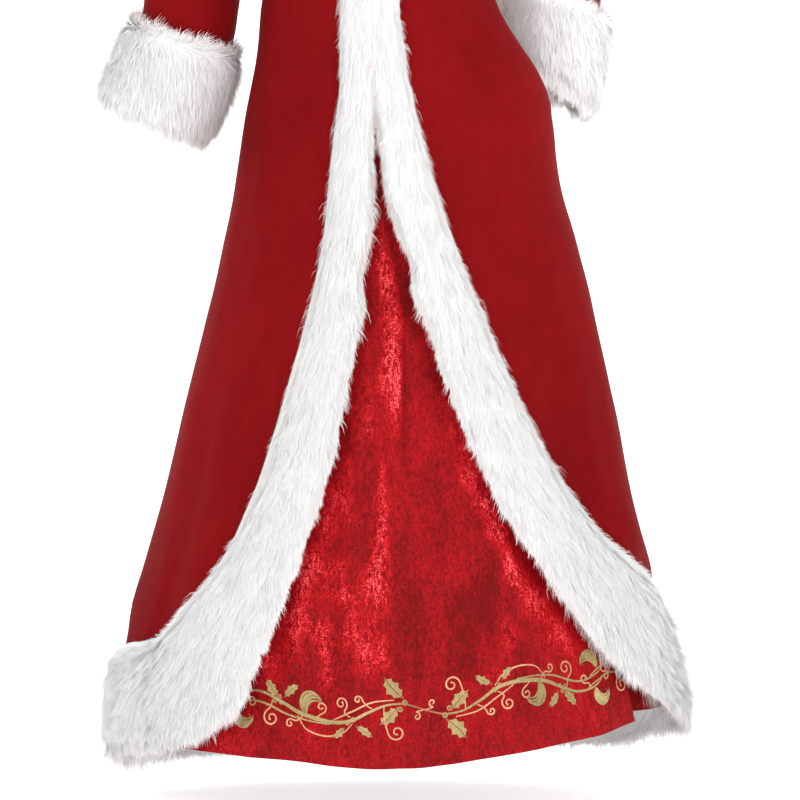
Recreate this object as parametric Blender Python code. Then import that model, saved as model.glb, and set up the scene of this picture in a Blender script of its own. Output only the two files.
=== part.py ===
"""A long costume dress: a red velour robe, open below the hips, over a red velvet front skirt.

White fur bands run down both front edges and round the hem, and fur cuffs end the sleeves.
The dress keeps the hollow form in which it is worn. Sizes are in metres. x runs to the wearer's
left, y to the back and z up, and the origin lies between the two shoulders that carry the dress.
"""

import math

import bmesh
import bpy
import numpy as np

# Cloth and seams
ROBE_CLOTH = 0.002
SKIRT_CLOTH = 0.0015
SEAM_GAP = 0.0005
FUR_JOINT_GAP = 0.0010
STEP = 0.0005  # for slopes of a face, in metres or radians

# Levels of the cut
NECK_SIDE_Z = 0.024
NECK_FRONT_Z = -0.085
NECK_BACK_Z = 0.004
NECK_HALF_WIDTH = 0.080
ARMHOLE_X = 0.160
ARMHOLE_TOP_Z = -0.0150
ARMHOLE_BASE_Z = -0.2115
ARMHOLE_CENTRE = (0.008, -0.115)  # y and z
SKIRT_TOP_Z = -0.430
SPLIT_Z = -0.590
SIDE_ANGLE = math.radians(90.0)
BACK_ANGLE = math.radians(180.0)

# Columns and rows of the cloth grids
SKIRT_ROWS = 19
OPEN_ROWS = 12  # of them, those below the level where the fronts part
ARMHOLE_ROWS = 7
SHOULDER_ROWS = 2
FRONT_COLUMNS = 14
BACK_COLUMNS = 16
UNDERSKIRT_ROWS = 18
UNDERSKIRT_COLUMNS = 36
SLEEVE_ROWS = 16
SLEEVE_COLUMNS = 16

# The robe's outer face, level by level: the centre and half sizes of each oval section
ROBE_COLUMNS = ("z", "centre_x", "centre_y", "half_width", "half_depth")
ROBE_LEVELS = (
    (0.040, 0.000, 0.012, 0.062, 0.060),
    (0.024, 0.000, 0.012, 0.080, 0.066),
    (0.004, 0.000, 0.011, 0.118, 0.074),
    (-0.015, 0.000, 0.010, 0.160, 0.083),
    (-0.040, 0.000, 0.009, 0.184, 0.093),
    (-0.070, 0.000, 0.008, 0.193, 0.103),
    (-0.110, 0.000, 0.005, 0.194, 0.113),
    (-0.160, 0.000, 0.000, 0.183, 0.123),
    (-0.210, 0.000, -0.004, 0.1605, 0.131),
    (-0.250, 0.000, -0.007, 0.154, 0.134),
    (-0.300, 0.000, -0.005, 0.150, 0.127),
    (-0.350, -0.001, -0.001, 0.145, 0.117),
    (-0.400, -0.002, 0.002, 0.144, 0.111),
    (-0.457, -0.002, 0.004, 0.154, 0.113),
    (-0.510, 0.009, 0.005, 0.170, 0.119),
    (-0.563, 0.022, 0.006, 0.191, 0.130),
    (-0.617, 0.024, 0.008, 0.203, 0.141),
    (-0.670, 0.022, 0.010, 0.210, 0.151),
    (-0.776, 0.026, 0.012, 0.232, 0.172),
    (-0.883, 0.027, 0.014, 0.258, 0.194),
    (-0.989, 0.026, 0.015, 0.284, 0.217),
    (-1.095, 0.025, 0.016, 0.306, 0.240),
    (-1.202, 0.023, 0.017, 0.331, 0.262),
    (-1.308, 0.022, 0.018, 0.355, 0.282),
    (-1.400, 0.025, 0.018, 0.370, 0.296),
    (-1.520, 0.029, 0.018, 0.383, 0.310),
)

# Soft folds of the robe: ridges (or troughs, below zero) that grow from a level down to the hem
ROBE_FOLDS = (
    # angle, spread, height, starts at z
    (-84, 9, 0.006, -0.75),
    (-62, 7, -0.007, -0.80),
    (-48, 8, 0.008, -0.70),
    (34, 8, 0.006, -0.62),
    (52, 8, -0.004, -0.70),
    (67, 8, 0.005, -0.66),
    (84, 8, -0.004, -0.72),
    (102, 9, 0.009, -0.70),
    (119, 8, -0.012, -0.74),
    (137, 9, 0.016, -0.62),
    (155, 8, -0.013, -0.70),
    (172, 9, 0.015, -0.60),
    (-106, 8, 0.012, -0.72),
    (-123, 8, -0.012, -0.66),
    (-141, 9, 0.016, -0.64),
    (-158, 7, -0.014, -0.70),
)

# The front skirt: how far its face lies inside the robe's, its hem, and its own folds
INSET_COLUMNS = ("z", "at_side", "at_front")
UNDERSKIRT_INSET = (
    (-1.480, 0.0034, 0.014),
    (-1.300, 0.0032, 0.020),
    (-1.100, 0.0028, 0.025),
    (-0.850, 0.0028, 0.024),
    (-0.650, 0.0034, 0.017),
    (-0.500, 0.0042, 0.008),
    (-0.420, 0.0042, 0.005),
)
INSET_GROWS_OVER = math.radians(28.0)
LEAST_INSET = 0.010
UNDERSKIRT_HEM = (
    # angle, z
    (-90, -1.436),
    (-60, -1.440),
    (-45, -1.442),
    (-32, -1.448),
    (-21, -1.452),
    (-11, -1.458),
    (0, -1.459),
    (8, -1.456),
    (17, -1.448),
    (25, -1.441),
    (35, -1.432),
    (46, -1.424),
    (56, -1.412),
    (68, -1.400),
    (90, -1.390),
)
UNDERSKIRT_FOLDS = (
    (-64, 7, -0.006, -0.95),
    (-45, 8, 0.006, -0.90),
    (-24, 8, -0.005, -0.85),
    (-3, 7, 0.010, -0.62),
    (10, 7, -0.006, -0.70),
    (27, 8, 0.006, -0.88),
    (41, 7, -0.005, -0.90),
    (55, 6, 0.016, -1.22),
    (67, 5, -0.046, -1.18),
)

# The fur bands lie between two lines, their free edge and their seam with the robe. Each runs from
# the neck down the front and round the hem to the centre back.
BAND_COLUMNS = ("row", "edge_angle", "edge_z", "seam_angle", "seam_z", "pile")
LEFT_BAND = (
    (0, 0.0, -0.085, 13.5, -0.076, 0.012),
    (1, 0.0, -0.220, 17.5, -0.220, 0.014),
    (2, -2.5, -0.400, 14.0, -0.400, 0.015),
    (3, -5.0, -0.470, 10.0, -0.470, 0.016),
    (4, -8.2, -0.535, 5.8, -0.535, 0.016),
    (5, -8.6, -0.590, 5.4, -0.590, 0.017),
    (6, -5.6, -0.670, 11.0, -0.668, 0.018),
    (7, -3.2, -0.750, 15.6, -0.748, 0.019),
    (8, 3.8, -0.860, 23.0, -0.853, 0.020),
    (9, 11.0, -0.963, 30.0, -0.945, 0.021),
    (10, 17.9, -1.062, 36.0, -1.020, 0.022),
    (11, 24.8, -1.144, 42.5, -1.080, 0.022),
    (12, 31.0, -1.208, 50.5, -1.132, 0.023),
    (13, 38.0, -1.275, 60.0, -1.176, 0.024),
    (14, 46.0, -1.325, 70.0, -1.208, 0.025),
    (15, 56.3, -1.361, 81.0, -1.236, 0.026),
    (16, 67.0, -1.394, 92.0, -1.260, 0.026),
    (17, 84.0, -1.418, 106.0, -1.284, 0.026),
    (18, 108.0, -1.440, 124.0, -1.305, 0.026),
    (19, 142.0, -1.474, 149.0, -1.336, 0.026),
    (20, 180.0, -1.495, 180.0, -1.353, 0.026),
)
RIGHT_BAND = (
    (0, 0.0, -0.085, -13.5, -0.076, 0.012),
    (1, 0.0, -0.220, -17.5, -0.220, 0.014),
    (2, -2.5, -0.400, -18.5, -0.400, 0.015),
    (3, -5.0, -0.470, -19.3, -0.470, 0.016),
    (4, -8.2, -0.535, -22.4, -0.535, 0.016),
    (5, -8.6, -0.590, -23.2, -0.590, 0.017),
    (6, -7.6, -0.670, -24.0, -0.670, 0.018),
    (7, -7.5, -0.750, -25.0, -0.752, 0.019),
    (8, -10.2, -0.860, -27.6, -0.857, 0.020),
    (9, -12.5, -0.963, -31.0, -0.955, 0.021),
    (10, -15.8, -1.062, -34.8, -1.052, 0.022),
    (11, -18.8, -1.148, -38.8, -1.130, 0.022),
    (12, -22.5, -1.226, -44.0, -1.203, 0.023),
    (13, -26.8, -1.290, -50.5, -1.251, 0.024),
    (14, -31.2, -1.349, -58.5, -1.286, 0.025),
    (15, -36.8, -1.394, -67.5, -1.302, 0.026),
    (16, -47.0, -1.432, -77.0, -1.308, 0.026),
    (17, -65.0, -1.446, -88.0, -1.314, 0.026),
    (18, -92.0, -1.460, -105.0, -1.325, 0.026),
    (19, -134.0, -1.484, -139.0, -1.346, 0.026),
    (20, -180.0, -1.495, -180.0, -1.353, 0.026),
)
LEFT_CORNER_ROW = 12  # where the front band ends and the hem band begins
RIGHT_CORNER_ROW = 14
LAST_BAND_ROW = 20
SPLIT_ROW = 5  # below this row the two front bands part
STEPS_PER_ROW = 200  # when a row is looked up by its place

# A fur band's section: where its backing and the tips of its pile lie across it, and the pile's
# height as a share of its greatest
FUR_SECTION = (
    # backing, tips, height
    (0.07, 0.00, 0.30),
    (0.16, 0.10, 0.82),
    (0.38, 0.36, 1.00),
    (0.64, 0.66, 1.00),
    (0.86, 0.90, 0.80),
    (1.00, 1.00, 0.34),
)

# The sleeves: the centre line and half sizes of each section, from the armhole to the wrist
SLEEVE_TABLE_COLUMNS = ("along", "out_x", "y", "z", "half_height", "half_depth")
LEFT_SLEEVE = (
    (0.00, 0.1605, 0.008, -0.115, 0.088, 0.066),
    (0.07, 0.195, 0.010, -0.122, 0.084, 0.067),
    (0.14, 0.222, 0.019, -0.148, 0.078, 0.066),
    (0.22, 0.241, 0.039, -0.187, 0.072, 0.065),
    (0.40, 0.254, 0.092, -0.252, 0.067, 0.065),
    (0.55, 0.249, 0.134, -0.310, 0.065, 0.064),
    (0.68, 0.238, 0.163, -0.360, 0.063, 0.062),
    (0.80, 0.234, 0.180, -0.413, 0.062, 0.061),
    (0.90, 0.237, 0.187, -0.474, 0.063, 0.061),
    (1.00, 0.225, 0.186, -0.541, 0.065, 0.062),
)
RIGHT_SLEEVE = (
    (0.00, 0.1605, 0.008, -0.115, 0.088, 0.066),
    (0.07, 0.193, 0.010, -0.123, 0.084, 0.068),
    (0.14, 0.219, 0.012, -0.152, 0.077, 0.068),
    (0.22, 0.233, 0.014, -0.198, 0.071, 0.067),
    (0.40, 0.241, 0.017, -0.290, 0.067, 0.065),
    (0.55, 0.246, 0.021, -0.368, 0.066, 0.065),
    (0.70, 0.251, 0.028, -0.445, 0.065, 0.064),
    (0.85, 0.267, 0.038, -0.520, 0.065, 0.064),
    (1.00, 0.299, 0.052, -0.602, 0.067, 0.066),
)
TURNS_OVER = 0.18  # the share of a sleeve in which its sections turn from the armhole's plane
SETTLES_OVER = 0.22  # and in which they take up the sizes in its table
DIRECTION_SPAN = 0.02  # the share of a sleeve, each way, that gives its direction
LAST_STRETCH = 0.10  # the last share of a sleeve, which is straight
ROWS_CROWD = 1.15  # above 1, a sleeve's rows lie closer together at the armhole
ARMHOLE_LIMIT = 0.2  # farther from the armhole's centre than any point of its edge
HALVINGS = 40
WRIST_SLANT = {1: 0.080, -1: 0.0}  # how much further on a wrist's outer side ends, by side
SLANT_ALONG = ((0.50, 0.80, 1.00), (0.0, 1.0, 0.55))  # shares of the sleeve, and of its slant
CUFF_SHARE = 0.185
CUFF_GAP = 0.0018
CUFF_PILE = 0.022
CUFF_SECTION = (
    # backing, tips, height
    (0.05, 0.00, 0.30),
    (0.14, 0.10, 0.82),
    (0.34, 0.32, 1.00),
    (0.55, 0.56, 1.00),
    (0.74, 0.78, 1.00),
    (0.88, 0.95, 0.84),
    (0.98, 1.06, 0.34),
)

# Materials: colour and roughness
VELOUR = ((0.28, 0.010, 0.016), 0.85)
VELVET = ((0.52, 0.008, 0.020), 0.55)
FUR = ((0.90, 0.90, 0.89), 0.95)


def smooth(table, columns, name, at):
    """A smooth curve through one column of a table, read against the table's first column."""
    rows = np.array(sorted(table), float)
    x = rows[:, 0]
    y = rows[:, columns.index(name)]
    slope = np.gradient(y, x)
    at = np.clip(at, x[0], x[-1])
    i = np.clip(np.searchsorted(x, at) - 1, 0, len(x) - 2)
    step = x[i + 1] - x[i]
    t = (at - x[i]) / step
    from_start = y[i] + slope[i] * step * t
    from_end = y[i + 1] - slope[i + 1] * step * (1 - t)
    blend = t * t * (3 - 2 * t)
    return from_start * (1 - blend) + from_end * blend


def ramp(value, start, end):
    """0 at start, 1 at end, with a smooth rise between them."""
    t = np.clip((value - start) / (end - start), 0.0, 1.0)
    return t * t * (3 - 2 * t)


def robe_size(name, z):
    return smooth(ROBE_LEVELS, ROBE_COLUMNS, name, z)


def fold_height(folds, angle, z, hem_z=-1.45):
    """How far all the folds push a face out at an angle and a level."""
    total = np.zeros(np.broadcast(angle, z).shape)
    for centre, spread, height, starts_z in folds:
        off = (angle - math.radians(centre) + math.pi) % (2 * math.pi) - math.pi
        across = np.exp(-((off / math.radians(spread)) ** 2))
        total = total + height * across * ramp(z, starts_z, hem_z)
    return total


def oval(angle, z, out):
    """A point of the oval section at a level, moved out by a distance."""
    x = robe_size("centre_x", z) + (robe_size("half_width", z) + out) * np.sin(angle)
    y = robe_size("centre_y", z) - (robe_size("half_depth", z) + out) * np.cos(angle)
    return np.stack(np.broadcast_arrays(x, y, z), -1)


def robe_face(angle, z):
    """The robe's outer face. The angle runs from the front centre towards the wearer's left."""
    return oval(angle, z, fold_height(ROBE_FOLDS, angle, z))


def underskirt_face(angle, z):
    """The front skirt's outer face: on the robe at its side seams, and well inside it between."""
    from_side = np.clip((SIDE_ANGLE - np.abs(angle)) / INSET_GROWS_OVER, 0.0, 1.0)
    free = from_side * (2 - from_side)
    at_side = smooth(UNDERSKIRT_INSET, INSET_COLUMNS, "at_side", z)
    at_front = smooth(UNDERSKIRT_INSET, INSET_COLUMNS, "at_front", z)
    inset = at_side * (1 - free) + at_front * free
    own = fold_height(UNDERSKIRT_FOLDS, angle, z) * free
    robe = fold_height(ROBE_FOLDS, angle, z)
    below_robe = robe - at_side - LEAST_INSET * free
    return oval(angle, z, np.minimum(own + robe * (1 - free) - inset, below_robe))


def moved_out(face, angle, z, distance):
    """Points of a face, moved out along its normal."""
    across = face(angle + STEP, z) - face(angle - STEP, z)
    upward = face(angle, z + STEP) - face(angle, z - STEP)
    normal = np.cross(across, upward)
    distance = np.broadcast_to(distance, angle.shape)[..., None]
    return face(angle, z) + unit(normal) * distance


def patch(bottom, top, left, right, heights):
    """A grid of (angle, z) between four edge lines: bottom and top by column, left and right by row."""
    u = np.linspace(0.0, 1.0, len(bottom))[None, :, None]
    v = np.asarray(heights)[:, None, None]
    across = (1 - u) * left[:, None] + u * right[:, None]
    along = (1 - v) * bottom[None] + v * top[None]
    ends = (1 - v) * ((1 - u) * bottom[0] + u * bottom[-1])
    ends = ends + v * ((1 - u) * top[0] + u * top[-1])
    return across + along - ends


def band_point(band, rows, share):
    """Points (angle, z) of a fur band: at some rows of its table, and at a share of its width."""
    edge_angle, edge_z, seam_angle, seam_z = (
        smooth(band, BAND_COLUMNS, name, rows) for name in BAND_COLUMNS[1:5]
    )
    angle = np.radians(edge_angle + (seam_angle - edge_angle) * share)
    return np.stack([angle, edge_z + (seam_z - edge_z) * share], -1)


def rows_where(band, part, values):
    """The rows of a band's table at which its seam reaches some angles (part 0) or levels (part 1)."""
    rows = np.linspace(0.0, LAST_BAND_ROW, LAST_BAND_ROW * STEPS_PER_ROW + 1)
    reached = band_point(band, rows, 1.0)[:, part]
    reached = np.abs(reached) if part == 0 else -reached
    values = np.abs(values) if part == 0 else -values
    return np.interp(values, np.maximum.accumulate(reached), rows)


def armhole_angle(z):
    """The angle from the front centre at which the robe reaches the armhole's plane."""
    return np.arcsin(np.clip(ARMHOLE_X / robe_size("half_width", z), 0.0, 1.0))


def side_levels(hem_z):
    """Levels of the rows at the side: up the side seam, round the armhole, along the shoulder."""
    seam = np.linspace(hem_z, ARMHOLE_BASE_Z, SKIRT_ROWS + 1)
    turn = (1 - np.cos(np.linspace(0.0, math.pi, ARMHOLE_ROWS + 1))) / 2
    armhole = ARMHOLE_BASE_Z + (ARMHOLE_TOP_Z - ARMHOLE_BASE_Z) * turn[1:]
    shoulder = np.linspace(ARMHOLE_TOP_Z, NECK_SIDE_Z, SHOULDER_ROWS + 1)[1:]
    return np.concatenate([seam, armhole, shoulder])


def side_edge(side, levels, is_back):
    """The side seam, armhole and shoulder seam of a front or a back, as (angle, z)."""
    angle = SIDE_ANGLE - SEAM_GAP / 2 / robe_size("half_depth", levels)
    on_armhole = (levels > ARMHOLE_BASE_Z + STEP) & (levels < ARMHOLE_TOP_Z - STEP)
    angle = np.where(on_armhole, armhole_angle(levels), angle)
    angle = BACK_ANGLE - angle if is_back else angle
    return np.stack([side * angle, levels], -1)


def neck_line(turn, low_z):
    """The neckline as (angle, z), by its turn from the centre (0) to the shoulder (pi / 2)."""
    z = NECK_SIDE_Z - (NECK_SIDE_Z - low_z) * np.cos(turn)
    reach = NECK_HALF_WIDTH * np.sin(turn) / robe_size("half_width", z)
    return np.stack([np.arcsin(np.clip(reach, 0.0, 1.0)), z], -1)


def row_heights(levels):
    return (levels - levels[0]) / (levels[-1] - levels[0])


def front_rows(band, corner_row):
    """The rows of a band's table at the cloth rows of a front, from its corner up to the neck."""
    corner_z = band_point(band, np.array([corner_row]), 1.0)[0, 1]
    neck_z = band_point(band, np.array([0.0]), 1.0)[0, 1]
    open_part = np.linspace(corner_z, SPLIT_Z, OPEN_ROWS + 1)
    closed_part = np.linspace(SPLIT_Z, ARMHOLE_BASE_Z, SKIRT_ROWS - OPEN_ROWS + 1)[1:]
    bodice = np.linspace(ARMHOLE_BASE_Z, neck_z, ARMHOLE_ROWS + SHOULDER_ROWS + 1)[1:]
    shared = rows_where(RIGHT_BAND, 1, np.concatenate([closed_part, bodice]))
    rows = np.concatenate([rows_where(band, 1, open_part), shared])
    rows[0], rows[OPEN_ROWS], rows[-1] = corner_row, SPLIT_ROW, 0.0
    return rows


def front_hem_rows(band, corner_row):
    """The rows of a band's table at the cloth columns of a front, from its corner to its side."""
    corner_angle = abs(band_point(band, np.array([corner_row]), 1.0)[0, 0])
    rows = rows_where(band, 0, np.linspace(corner_angle, SIDE_ANGLE, FRONT_COLUMNS + 1))
    rows[0] = corner_row
    return rows


def back_hem_rows(band):
    rows = rows_where(band, 0, np.linspace(SIDE_ANGLE, BACK_ANGLE, BACK_COLUMNS + 1))
    rows[-1] = LAST_BAND_ROW
    return rows


def front_grid(side, band, corner_row):
    """The (angle, z) grid of a front, between its fur band, side seam, armhole and shoulder."""
    bottom = band_point(band, front_hem_rows(band, corner_row), 1.0)
    left = band_point(band, front_rows(band, corner_row), 1.0)
    levels = side_levels(bottom[-1, 1])
    right = side_edge(side, levels, is_back=False)
    bottom[0], bottom[-1] = left[0], right[0]
    reach = math.sin(abs(left[-1, 0])) * robe_size("half_width", left[-1, 1])
    start = math.asin(reach / NECK_HALF_WIDTH)
    turn = np.linspace(start, math.pi / 2, FRONT_COLUMNS + 1)
    top = neck_line(turn, NECK_FRONT_Z)
    top[:, 0] *= side
    top[0], top[-1] = left[-1], right[-1]
    return patch(bottom, top, left, right, row_heights(levels))


def back_grid(side, band):
    """The (angle, z) grid of one half of the back, from the side seam to the centre back seam."""
    bottom = band_point(band, back_hem_rows(band), 1.0)
    levels = side_levels(bottom[0, 1])
    left = side_edge(side, levels, is_back=True)
    below = np.linspace(bottom[-1, 1], ARMHOLE_BASE_Z, SKIRT_ROWS + 1)
    above = np.linspace(ARMHOLE_BASE_Z, NECK_BACK_Z, ARMHOLE_ROWS + SHOULDER_ROWS + 1)[1:]
    centre_levels = np.concatenate([below, above])
    gap = SEAM_GAP / 2 / robe_size("half_width", centre_levels)
    right = np.stack([side * (BACK_ANGLE - gap), centre_levels], -1)
    turn = np.linspace(math.pi / 2, 0.0, BACK_COLUMNS + 1)
    top = neck_line(turn, NECK_BACK_Z)
    top[:, 0] = side * (BACK_ANGLE - top[:, 0])
    bottom[0], bottom[-1] = left[0], right[0]
    top[0], top[-1] = left[-1], right[-1]
    return patch(bottom, top, left, right, row_heights(levels))


def underskirt_grid():
    """The (angle, z) grid of the front skirt, from side seam to side seam."""
    angles = np.linspace(-SIDE_ANGLE, SIDE_ANGLE, UNDERSKIRT_COLUMNS + 1)
    hem_z = smooth(UNDERSKIRT_HEM, ("angle", "z"), "z", np.degrees(angles))
    up = np.linspace(0.0, 1.0, UNDERSKIRT_ROWS + 1)[:, None]
    z = hem_z[None] + (SKIRT_TOP_Z - hem_z[None]) * up
    return np.stack(np.broadcast_arrays(angles[None], z), -1)


def armhole_reach(around):
    """How far the armhole lies from its centre, in each direction round it, by halving."""
    near = np.zeros_like(around)
    far = np.full_like(around, ARMHOLE_LIMIT)
    for _ in range(HALVINGS):
        middle = (near + far) / 2
        y = ARMHOLE_CENTRE[0] - middle * np.cos(around)
        z = ARMHOLE_CENTRE[1] + middle * np.sin(around)
        from_centre = (y - robe_size("centre_y", z)) / robe_size("half_depth", z)
        inside = (ARMHOLE_X / robe_size("half_width", z)) ** 2 + from_centre**2 < 1
        near = np.where(inside, middle, near)
        far = np.where(inside, far, middle)
    return near


def sleeve_points(side, table, along, around, out=0.0):
    """Points of a sleeve's outer face: sections that turn from the armhole's plane to the wrist."""
    along, around, out = np.broadcast_arrays(along, around, out)
    slant = WRIST_SLANT[side] * np.interp(along, *SLANT_ALONG)
    slanted = along + slant * np.sin(around)

    def centre_at(share):
        x, y, z = (
            smooth(table, SLEEVE_TABLE_COLUMNS, name, np.minimum(share, 1.0))
            for name in ("out_x", "y", "z")
        )
        return np.stack([side * x, y, z], -1)

    ahead = centre_at(np.minimum(along + DIRECTION_SPAN, 1.0))
    behind = centre_at(np.clip(along - DIRECTION_SPAN, 0.0, 1.0 - DIRECTION_SPAN))
    toward = unit(ahead - behind)
    turned = ramp(along, 0.0, TURNS_OVER)[..., None]
    toward = unit(turned * toward + (1 - turned) * np.array([side, 0.0, 0.0]))
    front = unit(np.array([0.0, -1.0, 0.0]) + toward * toward[..., 1:2])
    up = side * np.cross(front, toward)
    half_height, half_depth = (
        smooth(table, SLEEVE_TABLE_COLUMNS, name, along) for name in ("half_height", "half_depth")
    )
    reach = armhole_reach(around)
    settled = ramp(along, 0.0, SETTLES_OVER)
    depth = (reach * (1 - settled) + half_depth * settled + out) * np.cos(around)
    height = (reach * (1 - settled) + half_height * settled + out) * np.sin(around)
    last = centre_at(np.array(1.0)) - centre_at(np.array(1.0 - LAST_STRETCH))
    length = np.linalg.norm(last) / LAST_STRETCH
    past_end = np.maximum(slanted - 1.0, 0.0)[..., None] * length * toward
    return centre_at(slanted) + past_end + front * depth[..., None] + up * height[..., None]


def unit(vectors):
    return vectors / np.linalg.norm(vectors, axis=-1, keepdims=True)


def material(name, look):
    colour, roughness = look
    made = bpy.data.materials.new(name)
    made.use_nodes = True
    shader = made.node_tree.nodes["Principled BSDF"]
    shader.inputs["Base Color"].default_value = (*colour, 1.0)
    shader.inputs["Roughness"].default_value = roughness
    return made


def sheet(name, outer, inner, looks, group, tube=False):
    """A piece of cloth or fur: a grid on its outer points, extruded to its inner points."""
    rows, columns = outer.shape[:2]
    outer = outer.reshape(-1, 3)
    inner = inner.reshape(-1, 3)
    solid = bmesh.new()
    bmesh.ops.create_grid(solid, x_segments=columns - 1, y_segments=rows - 1, size=1.0)
    place = solid.verts.layers.int.new("place")
    in_rows = sorted(solid.verts, key=lambda v: (round(v.co.y, 6), round(v.co.x, 6)))
    for i, vertex in enumerate(in_rows):
        vertex[place] = i
        vertex.co = outer[i]
    if tube:
        bmesh.ops.remove_doubles(solid, verts=solid.verts, dist=0.00001)
    every = list(solid.verts) + list(solid.edges) + list(solid.faces)
    extruded = bmesh.ops.extrude_face_region(solid, geom=every, use_keep_orig=True)
    for item in extruded["geom"]:
        if isinstance(item, bmesh.types.BMVert):
            item.co = inner[item[place]]
    bmesh.ops.triangulate(solid, faces=solid.faces, quad_method="SHORT_EDGE")
    bmesh.ops.recalc_face_normals(solid, faces=solid.faces)
    mesh = bpy.data.meshes.new(name)
    solid.to_mesh(mesh)
    solid.free()
    mesh.materials.append(looks)
    made = bpy.data.objects.new(name, mesh)
    group.objects.link(made)
    return made


def cloth_piece(name, face, grid, thickness, looks, group):
    angle, z = grid[..., 0], grid[..., 1]
    outer = moved_out(face, angle, z, 0.0)
    inner = moved_out(face, angle, z, -thickness)
    return sheet(name, outer, inner, looks, group)


def clear_of_seam(points, seam_end):
    """Rows (angle, z) of a band, with the row at one end drawn back by half a seam's gap."""
    last, before = (-1, -2) if seam_end == "last" else (0, 1)
    length = np.linalg.norm(robe_face(*points[last].T) - robe_face(*points[before].T), axis=-1)
    share = FUR_JOINT_GAP / 2 / length[:, None]
    points[last] = points[last] + (points[before] - points[last]) * share
    return points


def fur_band(name, side, band, rows, looks, group):
    """A fur strip: its backing continues the robe's cloth and its pile stands out from it."""
    seam = band_point(band, rows, 1.0)
    edge = band_point(band, rows, 0.0)
    width = np.linalg.norm(robe_face(*seam.T) - robe_face(*edge.T), axis=-1)
    to_seam = 1.0 - SEAM_GAP / width
    backing, tips, height = np.array(FUR_SECTION).T
    pile = smooth(band, BAND_COLUMNS, "pile", rows)[:, None] * height

    def spread(shares):
        points = band_point(band, rows[:, None], shares[None] * to_seam[:, None])
        points = clear_of_seam(clear_of_seam(points, "first"), "last")
        if rows.min() == 0.0:
            gap = SEAM_GAP / 2 / robe_size("half_width", points[..., 1])
            centre = band_point(RIGHT_BAND, rows, 0.0)[:, :1]
            points[..., 0] = side * np.maximum(side * points[..., 0], side * centre + gap)
        return points

    on_backing = spread(backing)
    at_tips = spread(tips)
    inner = moved_out(robe_face, on_backing[..., 0], on_backing[..., 1], -ROBE_CLOTH)
    outer = moved_out(robe_face, at_tips[..., 0], at_tips[..., 1], pile)
    return sheet(name, outer, inner, looks, group)


def sleeve_and_cuff(side_name, side, table, velour, fur, group):
    around = np.linspace(0.0, 2 * math.pi, SLEEVE_COLUMNS + 1)[None]
    along = np.linspace(0.0, 1.0, SLEEVE_ROWS + 1)[:, None] ** ROWS_CROWD
    outer = sleeve_points(side, table, along, around)
    inner = sleeve_points(side, table, along, around, out=-ROBE_CLOTH)
    sheet("sleeve_" + side_name, outer, inner, velour, group, tube=True)
    backing, tips, height = (column[:, None] for column in np.array(CUFF_SECTION).T)
    start = 1.0 - CUFF_SHARE
    inner = sleeve_points(side, table, start + CUFF_SHARE * backing, around, out=CUFF_GAP)
    pile = CUFF_GAP + CUFF_PILE * height
    outer = sleeve_points(side, table, start + CUFF_SHARE * tips, around, out=pile)
    sheet("cuff_fur_" + side_name, outer, inner, fur, group, tube=True)


def main():
    for old in list(bpy.data.objects):
        bpy.data.objects.remove(old)
    group = bpy.data.collections.new("Costume dress")
    bpy.context.scene.collection.children.link(group)
    velour = material("Red velour", VELOUR)
    velvet = material("Red crushed velvet", VELVET)
    fur = material("White fur", FUR)

    sides = (
        ("left", 1, LEFT_BAND, LEFT_CORNER_ROW, LEFT_SLEEVE),
        ("right", -1, RIGHT_BAND, RIGHT_CORNER_ROW, RIGHT_SLEEVE),
    )
    for side_name, side, band, corner_row, sleeve in sides:
        front = front_grid(side, band, corner_row)
        cloth_piece("front_" + side_name, robe_face, front, ROBE_CLOTH, velour, group)
        back = back_grid(side, band)
        cloth_piece("back_" + side_name, robe_face, back, ROBE_CLOTH, velour, group)
        sleeve_and_cuff(side_name, side, sleeve, velour, fur, group)
        front_band = front_rows(band, corner_row)[::-1]
        fur_band("front_fur_" + side_name, side, band, front_band, fur, group)
        hem_band = np.concatenate([front_hem_rows(band, corner_row)[:-1], back_hem_rows(band)])
        fur_band("hem_fur_" + side_name, side, band, hem_band, fur, group)

    cloth_piece("underskirt", underskirt_face, underskirt_grid(), SKIRT_CLOTH, velvet, group)


main()
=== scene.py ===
"""The finished look of the long costume dress: velour robe, crushed velvet front skirt, white fur.

Every piece is built on the same tables and functions as the solids, so each lies where its solid
does. Sizes are in metres; x runs to the wearer's left, y to the back and z up.
"""

import math

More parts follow.
